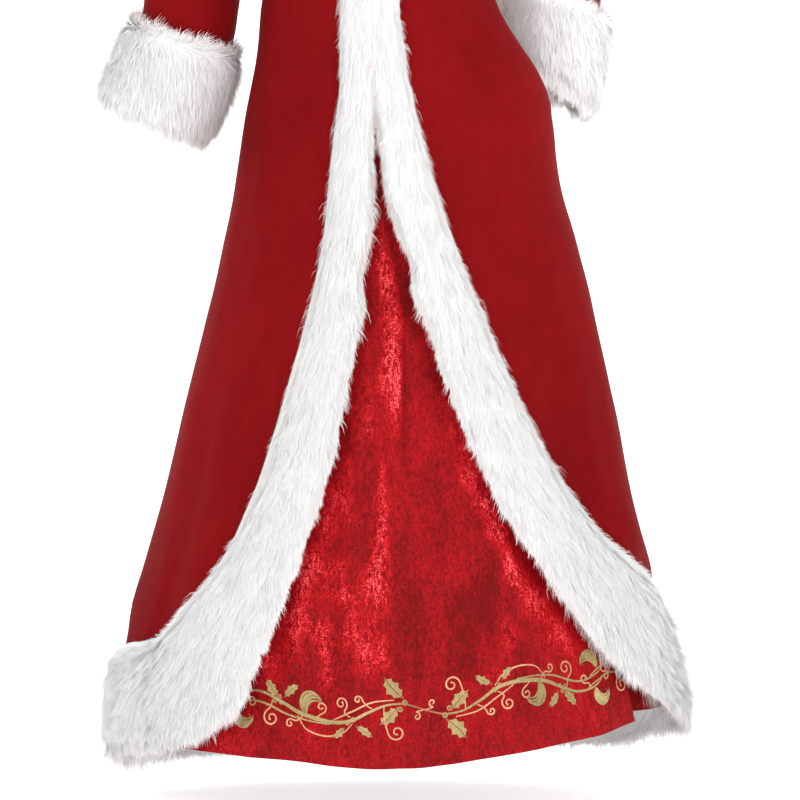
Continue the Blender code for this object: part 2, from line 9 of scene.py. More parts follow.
import bpy
import numpy as np
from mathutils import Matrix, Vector


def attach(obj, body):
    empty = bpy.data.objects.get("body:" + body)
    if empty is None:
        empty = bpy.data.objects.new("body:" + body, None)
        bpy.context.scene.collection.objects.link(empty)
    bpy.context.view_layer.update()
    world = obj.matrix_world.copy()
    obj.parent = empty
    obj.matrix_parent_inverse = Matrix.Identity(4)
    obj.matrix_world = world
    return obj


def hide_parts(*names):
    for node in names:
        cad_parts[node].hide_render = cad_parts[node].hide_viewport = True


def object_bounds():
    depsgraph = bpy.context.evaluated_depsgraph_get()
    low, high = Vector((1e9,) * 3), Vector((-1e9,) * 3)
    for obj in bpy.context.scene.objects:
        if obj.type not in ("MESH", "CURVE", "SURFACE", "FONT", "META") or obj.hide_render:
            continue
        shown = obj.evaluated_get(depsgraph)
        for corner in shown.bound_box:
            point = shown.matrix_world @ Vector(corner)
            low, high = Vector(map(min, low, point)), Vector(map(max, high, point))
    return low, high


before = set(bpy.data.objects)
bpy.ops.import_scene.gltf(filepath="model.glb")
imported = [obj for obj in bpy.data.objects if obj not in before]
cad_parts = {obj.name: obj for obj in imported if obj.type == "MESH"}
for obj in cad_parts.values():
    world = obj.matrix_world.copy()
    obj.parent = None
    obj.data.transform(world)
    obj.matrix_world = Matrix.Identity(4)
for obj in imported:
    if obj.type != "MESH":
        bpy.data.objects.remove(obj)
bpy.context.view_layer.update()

# Cloth and seams, as in the solids
ROBE_CLOTH = 0.002
SKIRT_CLOTH = 0.0015
SEAM_GAP = 0.0005
FLAT_EASE = 1.01  # how much larger a piece is cut than it measures
STEP = 0.0005  # for slopes of a face, in metres or radians
FULL_TURN = 2 * math.pi

# Levels of the cut
NECK_SIDE_Z = 0.024
NECK_FRONT_Z = -0.085
NECK_BACK_Z = 0.004
NECK_HALF_WIDTH = 0.080
ARMHOLE_X = 0.160
ARMHOLE_TOP_Z = -0.0150
ARMHOLE_BASE_Z = -0.2115
ARMHOLE_CENTRE = (0.008, -0.115)  # y and z
SKIRT_TOP_Z = -0.430
SPLIT_Z = -0.590
SIDE_ANGLE = math.radians(90.0)
BACK_ANGLE = math.radians(180.0)

# Columns and rows of the cloth grids
SKIRT_ROWS = 60
OPEN_ROWS = 38  # of them, those below the level where the fronts part
ARMHOLE_ROWS = 18
SHOULDER_ROWS = 4
FRONT_COLUMNS = 36
BACK_COLUMNS = 44
BAND_ROWS_READ = 4001  # how finely a band's table is searched


def scaled(units, *rows):
    """A table whose columns are written in parts: 1000 for millimetres, 1 for just as it is."""
    return tuple(tuple(value / unit for value, unit in zip(row, units)) for row in rows)


# The robe's outer face, level by level: the centre and half sizes of each oval section
ROBE_COLUMNS = ("z", "centre_x", "centre_y", "half_width", "half_depth")
ROBE_LEVELS = scaled(
    (1000, 1000, 1000, 1000, 1000),  # see ROBE_COLUMNS
    (40, 0, 12, 62, 60),
    (24, 0, 12, 80, 66),
    (4, 0, 11, 118, 74),
    (-15, 0, 10, 160, 83),
    (-40, 0, 9, 184, 93),
    (-70, 0, 8, 193, 103),
    (-110, 0, 5, 194, 113),
    (-160, 0, 0, 183, 123),
    (-210, 0, -4, 160.5, 131),
    (-250, 0, -7, 154, 134),
    (-300, 0, -5, 150, 127),
    (-350, -1, -1, 145, 117),
    (-400, -2, 2, 144, 111),
    (-457, -2, 4, 154, 113),
    (-510, 9, 5, 170, 119),
    (-563, 22, 6, 191, 130),
    (-617, 24, 8, 203, 141),
    (-670, 22, 10, 210, 151),
    (-776, 26, 12, 232, 172),
    (-883, 27, 14, 258, 194),
    (-989, 26, 15, 284, 217),
    (-1095, 25, 16, 306, 240),
    (-1202, 23, 17, 331, 262),
    (-1308, 22, 18, 355, 282),
    (-1400, 25, 18, 370, 296),
    (-1520, 29, 18, 383, 310),
)

# Soft folds of the robe: ridges (or troughs, below zero) that grow from a level down to the hem
ROBE_FOLDS = scaled(
    (1, 1, 1000, 1000),  # angle, spread, height, starts at z
    (-84, 9, 6, -750), (-62, 7, -7, -800), (-48, 8, 8, -700), (34, 8, 6, -620), (52, 8, -4, -700),
    (67, 8, 5, -660), (84, 8, -4, -720), (102, 9, 9, -700), (119, 8, -12, -740),
    (137, 9, 16, -620), (155, 8, -13, -700), (172, 9, 15, -600), (-106, 8, 12, -720),
    (-123, 8, -12, -660), (-141, 9, 16, -640), (-158, 7, -14, -700),
)

# The front skirt: how far its face lies inside the robe's, its hem, and its own folds
INSET_COLUMNS = ("z", "at_side", "at_front")
UNDERSKIRT_INSET = scaled(
    (1000, 10000, 10000),  # see INSET_COLUMNS
    (-1480, 34, 140), (-1300, 32, 200), (-1100, 28, 250), (-850, 28, 240), (-650, 34, 170),
    (-500, 42, 80), (-420, 42, 50),
)
INSET_GROWS_OVER = math.radians(28.0)
LEAST_INSET = 0.010
UNDERSKIRT_HEM = scaled(
    (1, 1000),  # angle, z
    (-90, -1436), (-60, -1440), (-45, -1442), (-32, -1448), (-21, -1452), (-11, -1458),
    (0, -1459), (8, -1456), (17, -1448), (25, -1441), (35, -1432), (46, -1424), (56, -1412),
    (68, -1400), (90, -1390),
)
UNDERSKIRT_FOLDS = scaled(
    (1, 1, 1000, 1000),  # angle, spread, height, starts at z
    (-64, 7, -6, -950), (-45, 8, 6, -900), (-24, 8, -5, -850), (-3, 7, 10, -620),
    (10, 7, -6, -700), (27, 8, 6, -880), (41, 7, -5, -900), (55, 6, 16, -1220),
    (67, 5, -46, -1180),
)

# The fur bands lie between two lines, their free edge and their seam with the robe. Each runs from
# the neck down the front and round the hem to the centre back.
BAND_COLUMNS = ("row", "edge_angle", "edge_z", "seam_angle", "seam_z", "pile")
LEFT_BAND = scaled(
    (1, 1, 1000, 1, 1000, 1000),  # see BAND_COLUMNS
    (0, 0, -85, 13.5, -76, 12),
    (1, 0, -220, 17.5, -220, 14),
    (2, -2.5, -400, 14, -400, 15),
    (3, -5, -470, 10, -470, 16),
    (4, -8.2, -535, 5.8, -535, 16),
    (5, -8.6, -590, 5.4, -590, 17),
    (6, -5.6, -670, 11, -668, 18),
    (7, -3.2, -750, 15.6, -748, 19),
    (8, 3.8, -860, 23, -853, 20),
    (9, 11, -963, 30, -945, 21),
    (10, 17.9, -1062, 36, -1020, 22),
    (11, 24.8, -1144, 42.5, -1080, 22),
    (12, 31, -1208, 50.5, -1132, 23),
    (13, 38, -1275, 60, -1176, 24),
    (14, 46, -1325, 70, -1208, 25),
    (15, 56.3, -1361, 81, -1236, 26),
    (16, 67, -1394, 92, -1260, 26),
    (17, 84, -1418, 106, -1284, 26),
    (18, 108, -1440, 124, -1305, 26),
    (19, 142, -1474, 149, -1336, 26),
    (20, 180, -1495, 180, -1353, 26),
)
RIGHT_BAND = scaled(
    (1, 1, 1000, 1, 1000, 1000),  # see BAND_COLUMNS
    (0, 0, -85, -13.5, -76, 12),
    (1, 0, -220, -17.5, -220, 14),
    (2, -2.5, -400, -18.5, -400, 15),
    (3, -5, -470, -19.3, -470, 16),
    (4, -8.2, -535, -22.4, -535, 16),
    (5, -8.6, -590, -23.2, -590, 17),
    (6, -7.6, -670, -24, -670, 18),
    (7, -7.5, -750, -25, -752, 19),
    (8, -10.2, -860, -27.6, -857, 20),
    (9, -12.5, -963, -31, -955, 21),
    (10, -15.8, -1062, -34.8, -1052, 22),
    (11, -18.8, -1148, -38.8, -1130, 22),
    (12, -22.5, -1226, -44, -1203, 23),
    (13, -26.8, -1290, -50.5, -1251, 24),
    (14, -31.2, -1349, -58.5, -1286, 25),
    (15, -36.8, -1394, -67.5, -1302, 26),
    (16, -47, -1432, -77, -1308, 26),
    (17, -65, -1446, -88, -1314, 26),
    (18, -92, -1460, -105, -1325, 26),
    (19, -134, -1484, -139, -1346, 26),
    (20, -180, -1495, -180, -1353, 26),
)
LEFT_CORNER_ROW = 12  # where the front band ends and the hem band begins
RIGHT_CORNER_ROW = 14
LAST_BAND_ROW = 20
SPLIT_ROW = 5  # below this row the two front bands part

# A fur band's section: where its backing and the tips of its pile lie across it, and the pile's
# height as a share of its greatest
FUR_SECTION = (
    # backing, tips, height
    (0.07, 0.00, 0.30),
    (0.16, 0.10, 0.82),
    (0.38, 0.36, 1.00),
    (0.64, 0.66, 1.00),
    (0.86, 0.90, 0.80),
    (1.00, 1.00, 0.34),
)

# The sleeves: the centre line and half sizes of each section, from the armhole to the wrist
SLEEVE_TABLE_COLUMNS = ("along", "out_x", "y", "z", "half_height", "half_depth")
LEFT_SLEEVE = scaled(
    (100, 1000, 1000, 1000, 1000, 1000),  # see SLEEVE_TABLE_COLUMNS
    (0, 160.5, 8, -115, 88, 66),
    (7, 195, 10, -122, 84, 67),
    (14, 222, 19, -148, 78, 66),
    (22, 241, 39, -187, 72, 65),
    (40, 254, 92, -252, 67, 65),
    (55, 249, 134, -310, 65, 64),
    (68, 238, 163, -360, 63, 62),
    (80, 234, 180, -413, 62, 61),
    (90, 237, 187, -474, 63, 61),
    (100, 225, 186, -541, 65, 62),
)
RIGHT_SLEEVE = scaled(
    (100, 1000, 1000, 1000, 1000, 1000),  # see SLEEVE_TABLE_COLUMNS
    (0, 160.5, 8, -115, 88, 66),
    (7, 193, 10, -123, 84, 68),
    (14, 219, 12, -152, 77, 68),
    (22, 233, 14, -198, 71, 67),
    (40, 241, 17, -290, 67, 65),
    (55, 246, 21, -368, 66, 65),
    (70, 251, 28, -445, 65, 64),
    (85, 267, 38, -520, 65, 64),
    (100, 299, 52, -602, 67, 66),
)
TURNS_OVER = 0.18  # the share of a sleeve in which its sections turn from the armhole's plane
WRIST_SLANT = {1: 0.080, -1: 0.0}  # how much further on a wrist's outer side ends, by side
SLANT_ALONG = ((0.50, 0.80, 1.00), (0.0, 1.0, 0.55))  # shares of the sleeve, and of its slant
CUFF_SHARE = 0.185
CUFF_GAP = 0.0018
CUFF_PILE = 0.022
CUFF_SECTION = (
    # backing, tips, height
    (0.05, 0.00, 0.30),
    (0.14, 0.10, 0.82),
    (0.34, 0.32, 1.00),
    (0.55, 0.56, 1.00),
    (0.74, 0.78, 1.00),
    (0.88, 0.95, 0.84),
    (0.98, 1.06, 0.34),
)


def smooth(table, columns, name, at):
    """A smooth curve through one column of a table, read against the table's first column."""
    rows = np.array(sorted(table), float)
    x = rows[:, 0]
    y = rows[:, columns.index(name)]
    slope = np.gradient(y, x)
    at = np.clip(at, x[0], x[-1])
    i = np.clip(np.searchsorted(x, at) - 1, 0, len(x) - 2)
    step = x[i + 1] - x[i]
    t = (at - x[i]) / step
    from_start = y[i] + slope[i] * step * t
    from_end = y[i + 1] - slope[i + 1] * step * (1 - t)
    blend = t * t * (3 - 2 * t)
    return from_start * (1 - blend) + from_end * blend


def ramp(value, start, end):
    """0 at start, 1 at end, with a smooth rise between them."""
    t = np.clip((value - start) / (end - start), 0.0, 1.0)
    return t * t * (3 - 2 * t)


def robe_size(name, z):
    return smooth(ROBE_LEVELS, ROBE_COLUMNS, name, z)


def fold_height(folds, angle, z, hem_z=-1.45):
    """How far all the folds push a face out at an angle and a level."""
    total = np.zeros(np.broadcast(angle, z).shape)
    for centre, spread, height, starts_z in folds:
        off = (angle - math.radians(centre) + math.pi) % FULL_TURN - math.pi
        across = np.exp(-((off / math.radians(spread)) ** 2))
        total = total + height * across * ramp(z, starts_z, hem_z)
    return total


def oval(angle, z, out):
    """A point of the oval section at a level, moved out by a distance."""
    x = robe_size("centre_x", z) + (robe_size("half_width", z) + out) * np.sin(angle)
    y = robe_size("centre_y", z) - (robe_size("half_depth", z) + out) * np.cos(angle)
    return np.stack(np.broadcast_arrays(x, y, z), -1)


def robe_face(angle, z):
    """The robe's outer face. The angle runs from the front centre towards the wearer's left."""
    return oval(angle, z, fold_height(ROBE_FOLDS, angle, z))


def underskirt_face(angle, z):
    """The front skirt's outer face: on the robe at its side seams, and well inside it between."""
    from_side = np.clip((SIDE_ANGLE - np.abs(angle)) / INSET_GROWS_OVER, 0.0, 1.0)
    free = from_side * (2 - from_side)
    at_side = smooth(UNDERSKIRT_INSET, INSET_COLUMNS, "at_side", z)
    at_front = smooth(UNDERSKIRT_INSET, INSET_COLUMNS, "at_front", z)
    inset = at_side * (1 - free) + at_front * free
    own = fold_height(UNDERSKIRT_FOLDS, angle, z) * free
    robe = fold_height(ROBE_FOLDS, angle, z)
    below_robe = robe - at_side - LEAST_INSET * free
    return oval(angle, z, np.minimum(own + robe * (1 - free) - inset, below_robe))


def moved_out(face, angle, z, distance):
    """Points of a face, moved out along its normal."""
    across = face(angle + STEP, z) - face(angle - STEP, z)
    upward = face(angle, z + STEP) - face(angle, z - STEP)
    normal = np.cross(across, upward)
    distance = np.broadcast_to(distance, angle.shape)[..., None]
    return face(angle, z) + unit(normal) * distance


def patch(bottom, top, left, right, levels):
    """A grid of (angle, z) between a bottom and a top line, by column, and two sides, by row."""
    bottom[0], bottom[-1], top[0], top[-1] = left[0], right[0], left[-1], right[-1]
    u = np.linspace(0.0, 1.0, len(bottom))[None, :, None]
    v = ((levels - levels[0]) / (levels[-1] - levels[0]))[:, None, None]
    across = (1 - u) * left[:, None] + u * right[:, None]
    along = (1 - v) * bottom[None] + v * top[None]
    ends = (1 - v) * ((1 - u) * bottom[0] + u * bottom[-1])
    ends = ends + v * ((1 - u) * top[0] + u * top[-1])
    return across + along - ends


def band_point(band, rows, share):
    """Points (angle, z) of a fur band: at some rows of its table, and at a share of its width."""
    edge_angle, edge_z, seam_angle, seam_z = (
        smooth(band, BAND_COLUMNS, name, rows) for name in BAND_COLUMNS[1:5]
    )
    angle = np.radians(edge_angle + (seam_angle - edge_angle) * share)
    return np.stack([angle, edge_z + (seam_z - edge_z) * share], -1)


def rows_where(band, part, values):
    """The rows of a band's table where its seam reaches some angles (part 0) or levels (part 1)."""
    rows = np.linspace(0.0, LAST_BAND_ROW, BAND_ROWS_READ)
    reached = band_point(band, rows, 1.0)[:, part]
    reached = np.abs(reached) if part == 0 else -reached
    values = np.abs(values) if part == 0 else -values
    return np.interp(values, np.maximum.accumulate(reached), rows)


def armhole_angle(z):
    """The angle from the front centre at which the robe reaches the armhole's plane."""
    return np.arcsin(np.clip(ARMHOLE_X / robe_size("half_width", z), 0.0, 1.0))


def side_levels(hem_z):
    """Levels of the rows at the side: up the side seam, round the armhole, along the shoulder."""
    seam = np.linspace(hem_z, ARMHOLE_BASE_Z, SKIRT_ROWS + 1)
    turn = (1 - np.cos(np.linspace(0.0, math.pi, ARMHOLE_ROWS + 1))) / 2
    armhole = ARMHOLE_BASE_Z + (ARMHOLE_TOP_Z - ARMHOLE_BASE_Z) * turn[1:]
    shoulder = np.linspace(ARMHOLE_TOP_Z, NECK_SIDE_Z, SHOULDER_ROWS + 1)[1:]
    return np.concatenate([seam, armhole, shoulder])


def side_edge(side, levels, is_back):
    """The side seam, armhole and shoulder seam of a front or a back, as (angle, z)."""
    angle = SIDE_ANGLE - SEAM_GAP / 2 / robe_size("half_depth", levels)
    on_armhole = (levels > ARMHOLE_BASE_Z + STEP) & (levels < ARMHOLE_TOP_Z - STEP)
    angle = np.where(on_armhole, armhole_angle(levels), angle)
    angle = BACK_ANGLE - angle if is_back else angle
    return np.stack([side * angle, levels], -1)


def neck_line(turn, low_z):
    """The neckline as (angle, z), by its turn from the centre (0) to the shoulder (pi / 2)."""
    z = NECK_SIDE_Z - (NECK_SIDE_Z - low_z) * np.cos(turn)
    reach = NECK_HALF_WIDTH * np.sin(turn) / robe_size("half_width", z)
    return np.stack([np.arcsin(np.clip(reach, 0.0, 1.0)), z], -1)


def front_rows(band, corner_row):
    """The rows of a band's table at the cloth rows of a front, from its corner up to the neck."""
    corner_z = band_point(band, np.array([corner_row]), 1.0)[0, 1]
    neck_z = band_point(band, np.array([0.0]), 1.0)[0, 1]
    open_part = np.linspace(corner_z, SPLIT_Z, OPEN_ROWS + 1)
    closed_part = np.linspace(SPLIT_Z, ARMHOLE_BASE_Z, SKIRT_ROWS - OPEN_ROWS + 1)[1:]
    bodice = np.linspace(ARMHOLE_BASE_Z, neck_z, ARMHOLE_ROWS + SHOULDER_ROWS + 1)[1:]
    shared = rows_where(RIGHT_BAND, 1, np.concatenate([closed_part, bodice]))
    rows = np.concatenate([rows_where(band, 1, open_part), shared])
    rows[0], rows[OPEN_ROWS], rows[-1] = corner_row, SPLIT_ROW, 0.0
    return rows


def front_hem_rows(band, corner_row):
    """The rows of a band's table at the cloth columns of a front, from its corner to its side."""
    corner_angle = abs(band_point(band, np.array([corner_row]), 1.0)[0, 0])
    rows = rows_where(band, 0, np.linspace(corner_angle, SIDE_ANGLE, FRONT_COLUMNS + 1))
    rows[0] = corner_row
    return rows


def back_hem_rows(band):
    rows = rows_where(band, 0, np.linspace(SIDE_ANGLE, BACK_ANGLE, BACK_COLUMNS + 1))
    rows[-1] = LAST_BAND_ROW
    return rows


def front_grid(side, band, corner_row):
    """The (angle, z) grid of a front, between its fur band, side seam, armhole and shoulder."""
    bottom = band_point(band, front_hem_rows(band, corner_row), 1.0)
    left = band_point(band, front_rows(band, corner_row), 1.0)
    levels = side_levels(bottom[-1, 1])
    right = side_edge(side, levels, is_back=False)
    neck_angle, neck_z = left[-1]
    reach = math.sin(abs(neck_angle)) * robe_size("half_width", neck_z)
    start = math.asin(reach / NECK_HALF_WIDTH)
    turn = np.linspace(start, math.pi / 2, FRONT_COLUMNS + 1)
    top = neck_line(turn, NECK_FRONT_Z)
    top[:, 0] *= side
    return patch(bottom, top, left, right, levels)


def back_grid(side, band):
    """The (angle, z) grid of one half of the back, from the side seam to the centre back seam."""
    bottom = band_point(band, back_hem_rows(band), 1.0)
    levels = side_levels(bottom[0, 1])
    left = side_edge(side, levels, is_back=True)
    below = np.linspace(bottom[-1, 1], ARMHOLE_BASE_Z, SKIRT_ROWS + 1)
    above = np.linspace(ARMHOLE_BASE_Z, NECK_BACK_Z, ARMHOLE_ROWS + SHOULDER_ROWS + 1)[1:]
    centre_levels = np.concatenate([below, above])
    gap = SEAM_GAP / 2 / robe_size("half_width", centre_levels)
    right = np.stack([side * (BACK_ANGLE - gap), centre_levels], -1)
    turn = np.linspace(math.pi / 2, 0.0, BACK_COLUMNS + 1)
    top = neck_line(turn, NECK_BACK_Z)
    top[:, 0] = side * (BACK_ANGLE - top[:, 0])
    return patch(bottom, top, left, right, levels)


def armhole_reach(around):
    """How far the armhole lies from its centre, in each direction round it, by halving."""
    near = np.zeros_like(around)
    far = np.full_like(around, 0.2)
    for _ in range(40):
        middle = (near + far) / 2
        y = ARMHOLE_CENTRE[0] - middle * np.cos(around)
        z = ARMHOLE_CENTRE[1] + middle * np.sin(around)
        from_centre = (y - robe_size("centre_y", z)) / robe_size("half_depth", z)
        inside = (ARMHOLE_X / robe_size("half_width", z)) ** 2 + from_centre**2 < 1
        near = np.where(inside, middle, near)
        far = np.where(inside, far, middle)
    return near


def sleeve_points(side, table, along, around, out=0.0):
    """Points of a sleeve's outer face: sections that turn from the armhole's plane to the wrist."""
    along, around, out = np.broadcast_arrays(along, around, out)
    slant = WRIST_SLANT[side] * np.interp(along, *SLANT_ALONG)
    slanted = along + slant * np.sin(around)

    def centre_at(share):
        x, y, z = (
            smooth(table, SLEEVE_TABLE_COLUMNS, name, np.minimum(share, 1.0))
            for name in ("out_x", "y", "z")
        )
        return np.stack([side * x, y, z], -1)

    ahead = centre_at(np.minimum(along + 0.02, 1.0))
    behind = centre_at(np.clip(along - 0.02, 0.0, 0.98))
    toward = unit(ahead - behind)
    turned = ramp(along, 0.0, TURNS_OVER)[..., None]
    toward = unit(turned * toward + (1 - turned) * np.array([side, 0.0, 0.0]))
    front = unit(np.array([0.0, -1.0, 0.0]) + toward * toward[..., 1:2])
    up = side * np.cross(front, toward)
    half_height, half_depth = (
        smooth(table, SLEEVE_TABLE_COLUMNS, name, along) for name in ("half_height", "half_depth")
    )
    reach = armhole_reach(around)
    settled = ramp(along, 0.0, 0.22)
    depth = (reach * (1 - settled) + half_depth * settled + out) * np.cos(around)
    height = (reach * (1 - settled) + half_height * settled + out) * np.sin(around)
    length = np.linalg.norm(centre_at(np.array(1.0)) - centre_at(np.array(0.9))) / 0.1
    past_end = np.maximum(slanted - 1.0, 0.0)[..., None] * length * toward
    return centre_at(slanted) + past_end + front * depth[..., None] + up * height[..., None]


def unit(vectors):
    return vectors / np.linalg.norm(vectors, axis=-1, keepdims=True)


# Finer relief of the cloth, laid on the solids' faces

# Soft creases of the robe, seen from the front: two ends (x, z), half width and height
ROBE_CREASES = scaled(
    (1000, 1000, 1000, 1000, 1000, 10000),  # x0, z0, x1, z1, width, height
    (-146, -470, -149, -720, 10, 20), (-149, -700, -161, -960, 12, 24),
    (-252, -1130, -312, -1320, 9, 40), (-217, -950, -242, -1180, 14, -25),
    (-137, -400, -107, -520, 16, -16), (78, -480, 123, -640, 15, 20),
    (63, -440, 138, -560, 12, -16), (188, -700, 235, -960, 13, 26),
    (235, -880, 291, -1130, 11, 36), (213, -980, 303, -1215, 16, -30),
    (153, -760, 205, -990, 14, 22), (-87, -230, -147, -330, 14, 18), (33, -240, 91, -330, 14, 18),
    (-137, -120, -177, -200, 12, 22), (81, -120, 123, -210, 12, 22),
)
BACK_CREASES = scaled(
    (1000, 1000, 1000, 1000, 1000, 10000),  # x0, z0, x1, z1, width, height
    (-120, -360, -165, -640, 13, 38), (118, -360, 170, -660, 13, 38),
    (-50, -300, -62, -520, 12, -29), (50, -310, 70, -540, 12, 29),
    (-215, -820, -262, -1130, 14, 58), (235, -840, 290, -1160, 14, 58),
    (-105, -900, -128, -1180, 13, -48), (120, -880, 150, -1200, 13, -48),
    (-110, -110, -140, -240, 12, 35), (110, -110, 140, -240, 12, 35),
)
SKIRT_FOLDS = scaled(
    (1000, 1000, 1000, 1000, 10000, 10000),  # x0, z0, x1, z1, width, height
    (-2, -726, 15, -858, 84, 48), (11, -808, 24, -989, 84, 54), (21, -924, 25, -1080, 65, 42),
    (36, -898, 33, -1093, 65, -32), (6, -1080, 2, -1270, 104, 42),
    (-12, -1142, -19, -1347, 130, -29), (-101, -1194, -119, -1360, 117, 48),
    (-71, -1245, -58, -1398, 117, -38), (154, -1117, 213, -1283, 130, 48),
    (139, -1168, 144, -1309, 156, -38), (78, -1142, 85, -1360, 156, 32),
)
LENGTH_SCALE = 0.30  # a radian of the skirt, in metres, for relief that needs no exact length
# Random relief of the robe: height, bumps round the dress, height of a bump up it, seed
ROBE_SOFT = (0.0010, 34, 0.150, 3)
ROBE_FINE = (0.0006, 79, 0.060, 4)
ROBE_FLUTES = (0.0095, 19, 0.95, 8)
WAIST_PULLS = (0.0013, 13, 0.020, 9)
WAIST_Z = -0.42
# Random relief of the front skirt: height, width and height of a bump, seed
SKIRT_FLUTES = (0.0016, 0.030, 0.260, 11)
SKIRT_FINE = (0.0007, 0.014, 0.045, 12)
FULLER = (
    # where the robe is fuller than its solid: side, height, levels over which it grows
    (1, 0.0035, -0.42, -0.50),
    (1, 0.0050, -0.70, -0.88),
    (-1, 0.0032, -0.66, -0.82),
)

# Painted sheen and painted shade in the front skirt's colour: lines along which it is made
# brighter, as the shine of crushed nap, or darker where the strength is below zero; a line and how
# far it spreads
SHEEN_AND_SHADE_STREAKS = scaled(
    (1000, 1000, 1000, 1000, 10000, 100),  # x0, z0, x1, z1, width, strength
    (-2, -758, 13, -865, 84, 100), (10, -816, 19, -924, 94, 100), (16, -885, 19, -1005, 94, 100),
    (23, -911, 23, -1041, 55, 100), (6, -898, 8, -989, 65, 45), (5, -1060, 2, -1174, 58, 85),
    (5, -1142, 2, -1277, 84, 100), (-7, -1162, -14, -1258, 91, 75),
    (-12, -1260, -17, -1347, 104, 80), (4, -1283, 10, -1342, 52, 80),
    (-88, -1174, -101, -1260, 130, 100), (-101, -1245, -113, -1332, 117, 90),
    (-78, -1258, -65, -1366, 104, 85), (-46, -1194, -50, -1250, 91, 70),
    (-35, -1226, -35, -1315, 104, 70), (-63, -1194, -71, -1245, 78, 60),
    (-94, -1392, -86, -1456, 117, 70), (-201, -1398, -196, -1447, 143, 90),
    (-178, -1426, -150, -1439, 91, 70), (-50, -1414, -48, -1460, 65, 50),
    (-140, -1290, -150, -1362, 104, 70), (-165, -1373, -163, -1430, 65, 50),
    (94, -1005, 117, -1085, 104, 55), (107, -1075, 131, -1135, 117, 85),
    (136, -1111, 154, -1176, 104, 95), (154, -1158, 180, -1242, 91, 100),
    (185, -1219, 213, -1281, 104, 85), (218, -1270, 257, -1327, 104, 60),
    (152, -1238, 170, -1315, 91, 55), (126, -1296, 154, -1360, 117, 55),
    (-36, -1060, -44, -1149, 104, 50), (-55, -1093, -73, -1181, 91, 60),
    (-36, -989, -38, -1041, 117, 25), (270, -1360, 288, -1411, 78, 50),
    (-10, -963, -18, -1054, 104, 35), (282, -1392, 298, -1417, 91, 60),
    (-10, -784, -15, -918, 52, -80), (32, -802, 46, -918, 78, -90),
    (33, -918, 32, -1093, 52, -100), (32, -1080, 29, -1245, 78, -60),
    (58, -924, 84, -1041, 169, -70), (68, -1041, 93, -1194, 234, -60),
    (142, -1155, 144, -1302, 156, -70), (106, -1213, 111, -1360, 312, -90),
    (46, -1194, 50, -1373, 182, -70), (-23, -1041, -30, -1142, 91, -30),
    (20, -1296, 29, -1373, 91, -40),
)

# How much of the pile's height the fur's woven ground and its undercoat fill
GROUND_SHARE = 0.62
# How far a band's ground stays back from its inner edge and from its seam, in shares of its width
INSET_LINE = ("row", "edge", "left_seam", "right_seam")
INSETS = (
    (0.0, 0.05, 0.16, 0.19),
    (4.5, 0.06, 0.14, 0.17),
    (6.5, 0.11, 0.10, 0.14),
    (11.0, 0.11, 0.09, 0.12),
    (12.5, 0.13, 0.06, 0.05),
    (15.0, 0.10, 0.04, 0.07),
    (17.0, 0.10, 0.05, 0.07),
    (20.0, 0.15, 0.05, 0.05),
)
# Places where the fur of an inner edge lies further back, or further out
LEFT_EDGE_WAVES = (
    # row, rows it spans, share of the width
    (7.50, 0.24, 0.100),
    (7.95, 0.20, -0.035),
    (8.35, 0.30, 0.045),
    (10.2, 0.5, 0.020),
    (13.5, 1.5, 0.045),
)
RIGHT_EDGE_WAVES = (
    (7.62, 0.30, 0.070),
    (8.12, 0.22, -0.070),
    (9.9, 0.4, -0.030),
    (11.2, 0.4, 0.030),
    (14.0, 2.2, -0.100),
)
EDGE_UNEVEN = 0.012
HEM_SLOPE = 0.35  # how much lower the hem's pile is at its upper seam
HEM_RIM_SLOPE = 0.6  # and how much lower still at its rim there
GROUND_BELOW_EDGE = 0.03  # how far a band's backing reaches past its fur's edge, in shares
GATHERED = 0.42  # how far a lock's hairs draw together at their tips
UNEVEN_NORMAL = 0.12  # how far a hair's shading strays from its neighbours'
FRONT_HAIRS = (80000, 8000, 6500)  # dense pile, longer loose hairs, strands off the lower edge
HEM_HAIRS = (85000, 8000, 8500)
HEM_INSIDE_HAIRS = 7000
CUFF_HAIRS = (46000, 7500, 6500)
# The hem's strands are longer at the wearer's right side and short at the middle of the back:
# directions round the wearer, and shares of the usual length
FRINGE_LENGTHS = (
    (-2.75, -2.45, -1.90, -1.35, -1.00, 1.20, 1.50, 2.30, 2.55),
    (0.50, 0.70, 1.70, 1.60, 0.75, 0.75, 1.10, 1.10, 0.50),
)
FRONT_REACH = (0.0160, 0.0150)  # length of the pile, and of the strands
HEM_REACH = (0.0185, 0.0250)
CUFF_REACH = (0.0190, 0.0260)


def grain(x, y, seed, wrap=128):
    """Smooth random relief, about 1 high, over a plane whose unit is the size of its bumps."""
    spots = np.random.default_rng(seed).uniform(-1.0, 1.0, (128, 128))
    column = np.floor(x).astype(int)
    row = np.floor(y).astype(int)
    u = x - column
    v = y - row
    u = u * u * (3 - 2 * u)
    v = v * v * (3 - 2 * v)

    def spot(i, j):
        return spots[(row + j) % 128, (column + i) % wrap]

    low = spot(0, 0) * (1 - u) + spot(1, 0) * u
    high = spot(0, 1) * (1 - u) + spot(1, 1) * u
    return low * (1 - v) + high * v


def along_lines(lines, x, z):
    """The soft height that a table of straight creases gives at points (x, z)."""
    total = np.zeros(np.shape(x))
    for x0, z0, x1, z1, width, height in lines:
        run = np.array([x1 - x0, z1 - z0])
        length = np.hypot(*run)
        share = ((x - x0) * run[0] + (z - z0) * run[1]) / length**2
        off = np.abs((x - x0) * run[1] - (z - z0) * run[0]) / length
        ends = ramp(share, -0.10, 0.30) * (1 - ramp(share, 0.70, 1.10))
        wander = 0.35 * width * np.sin(7.0 * share + 40.0 * x0)
        total = total + height * ends * np.exp(-(((off + wander) / width) ** 2))
    return total


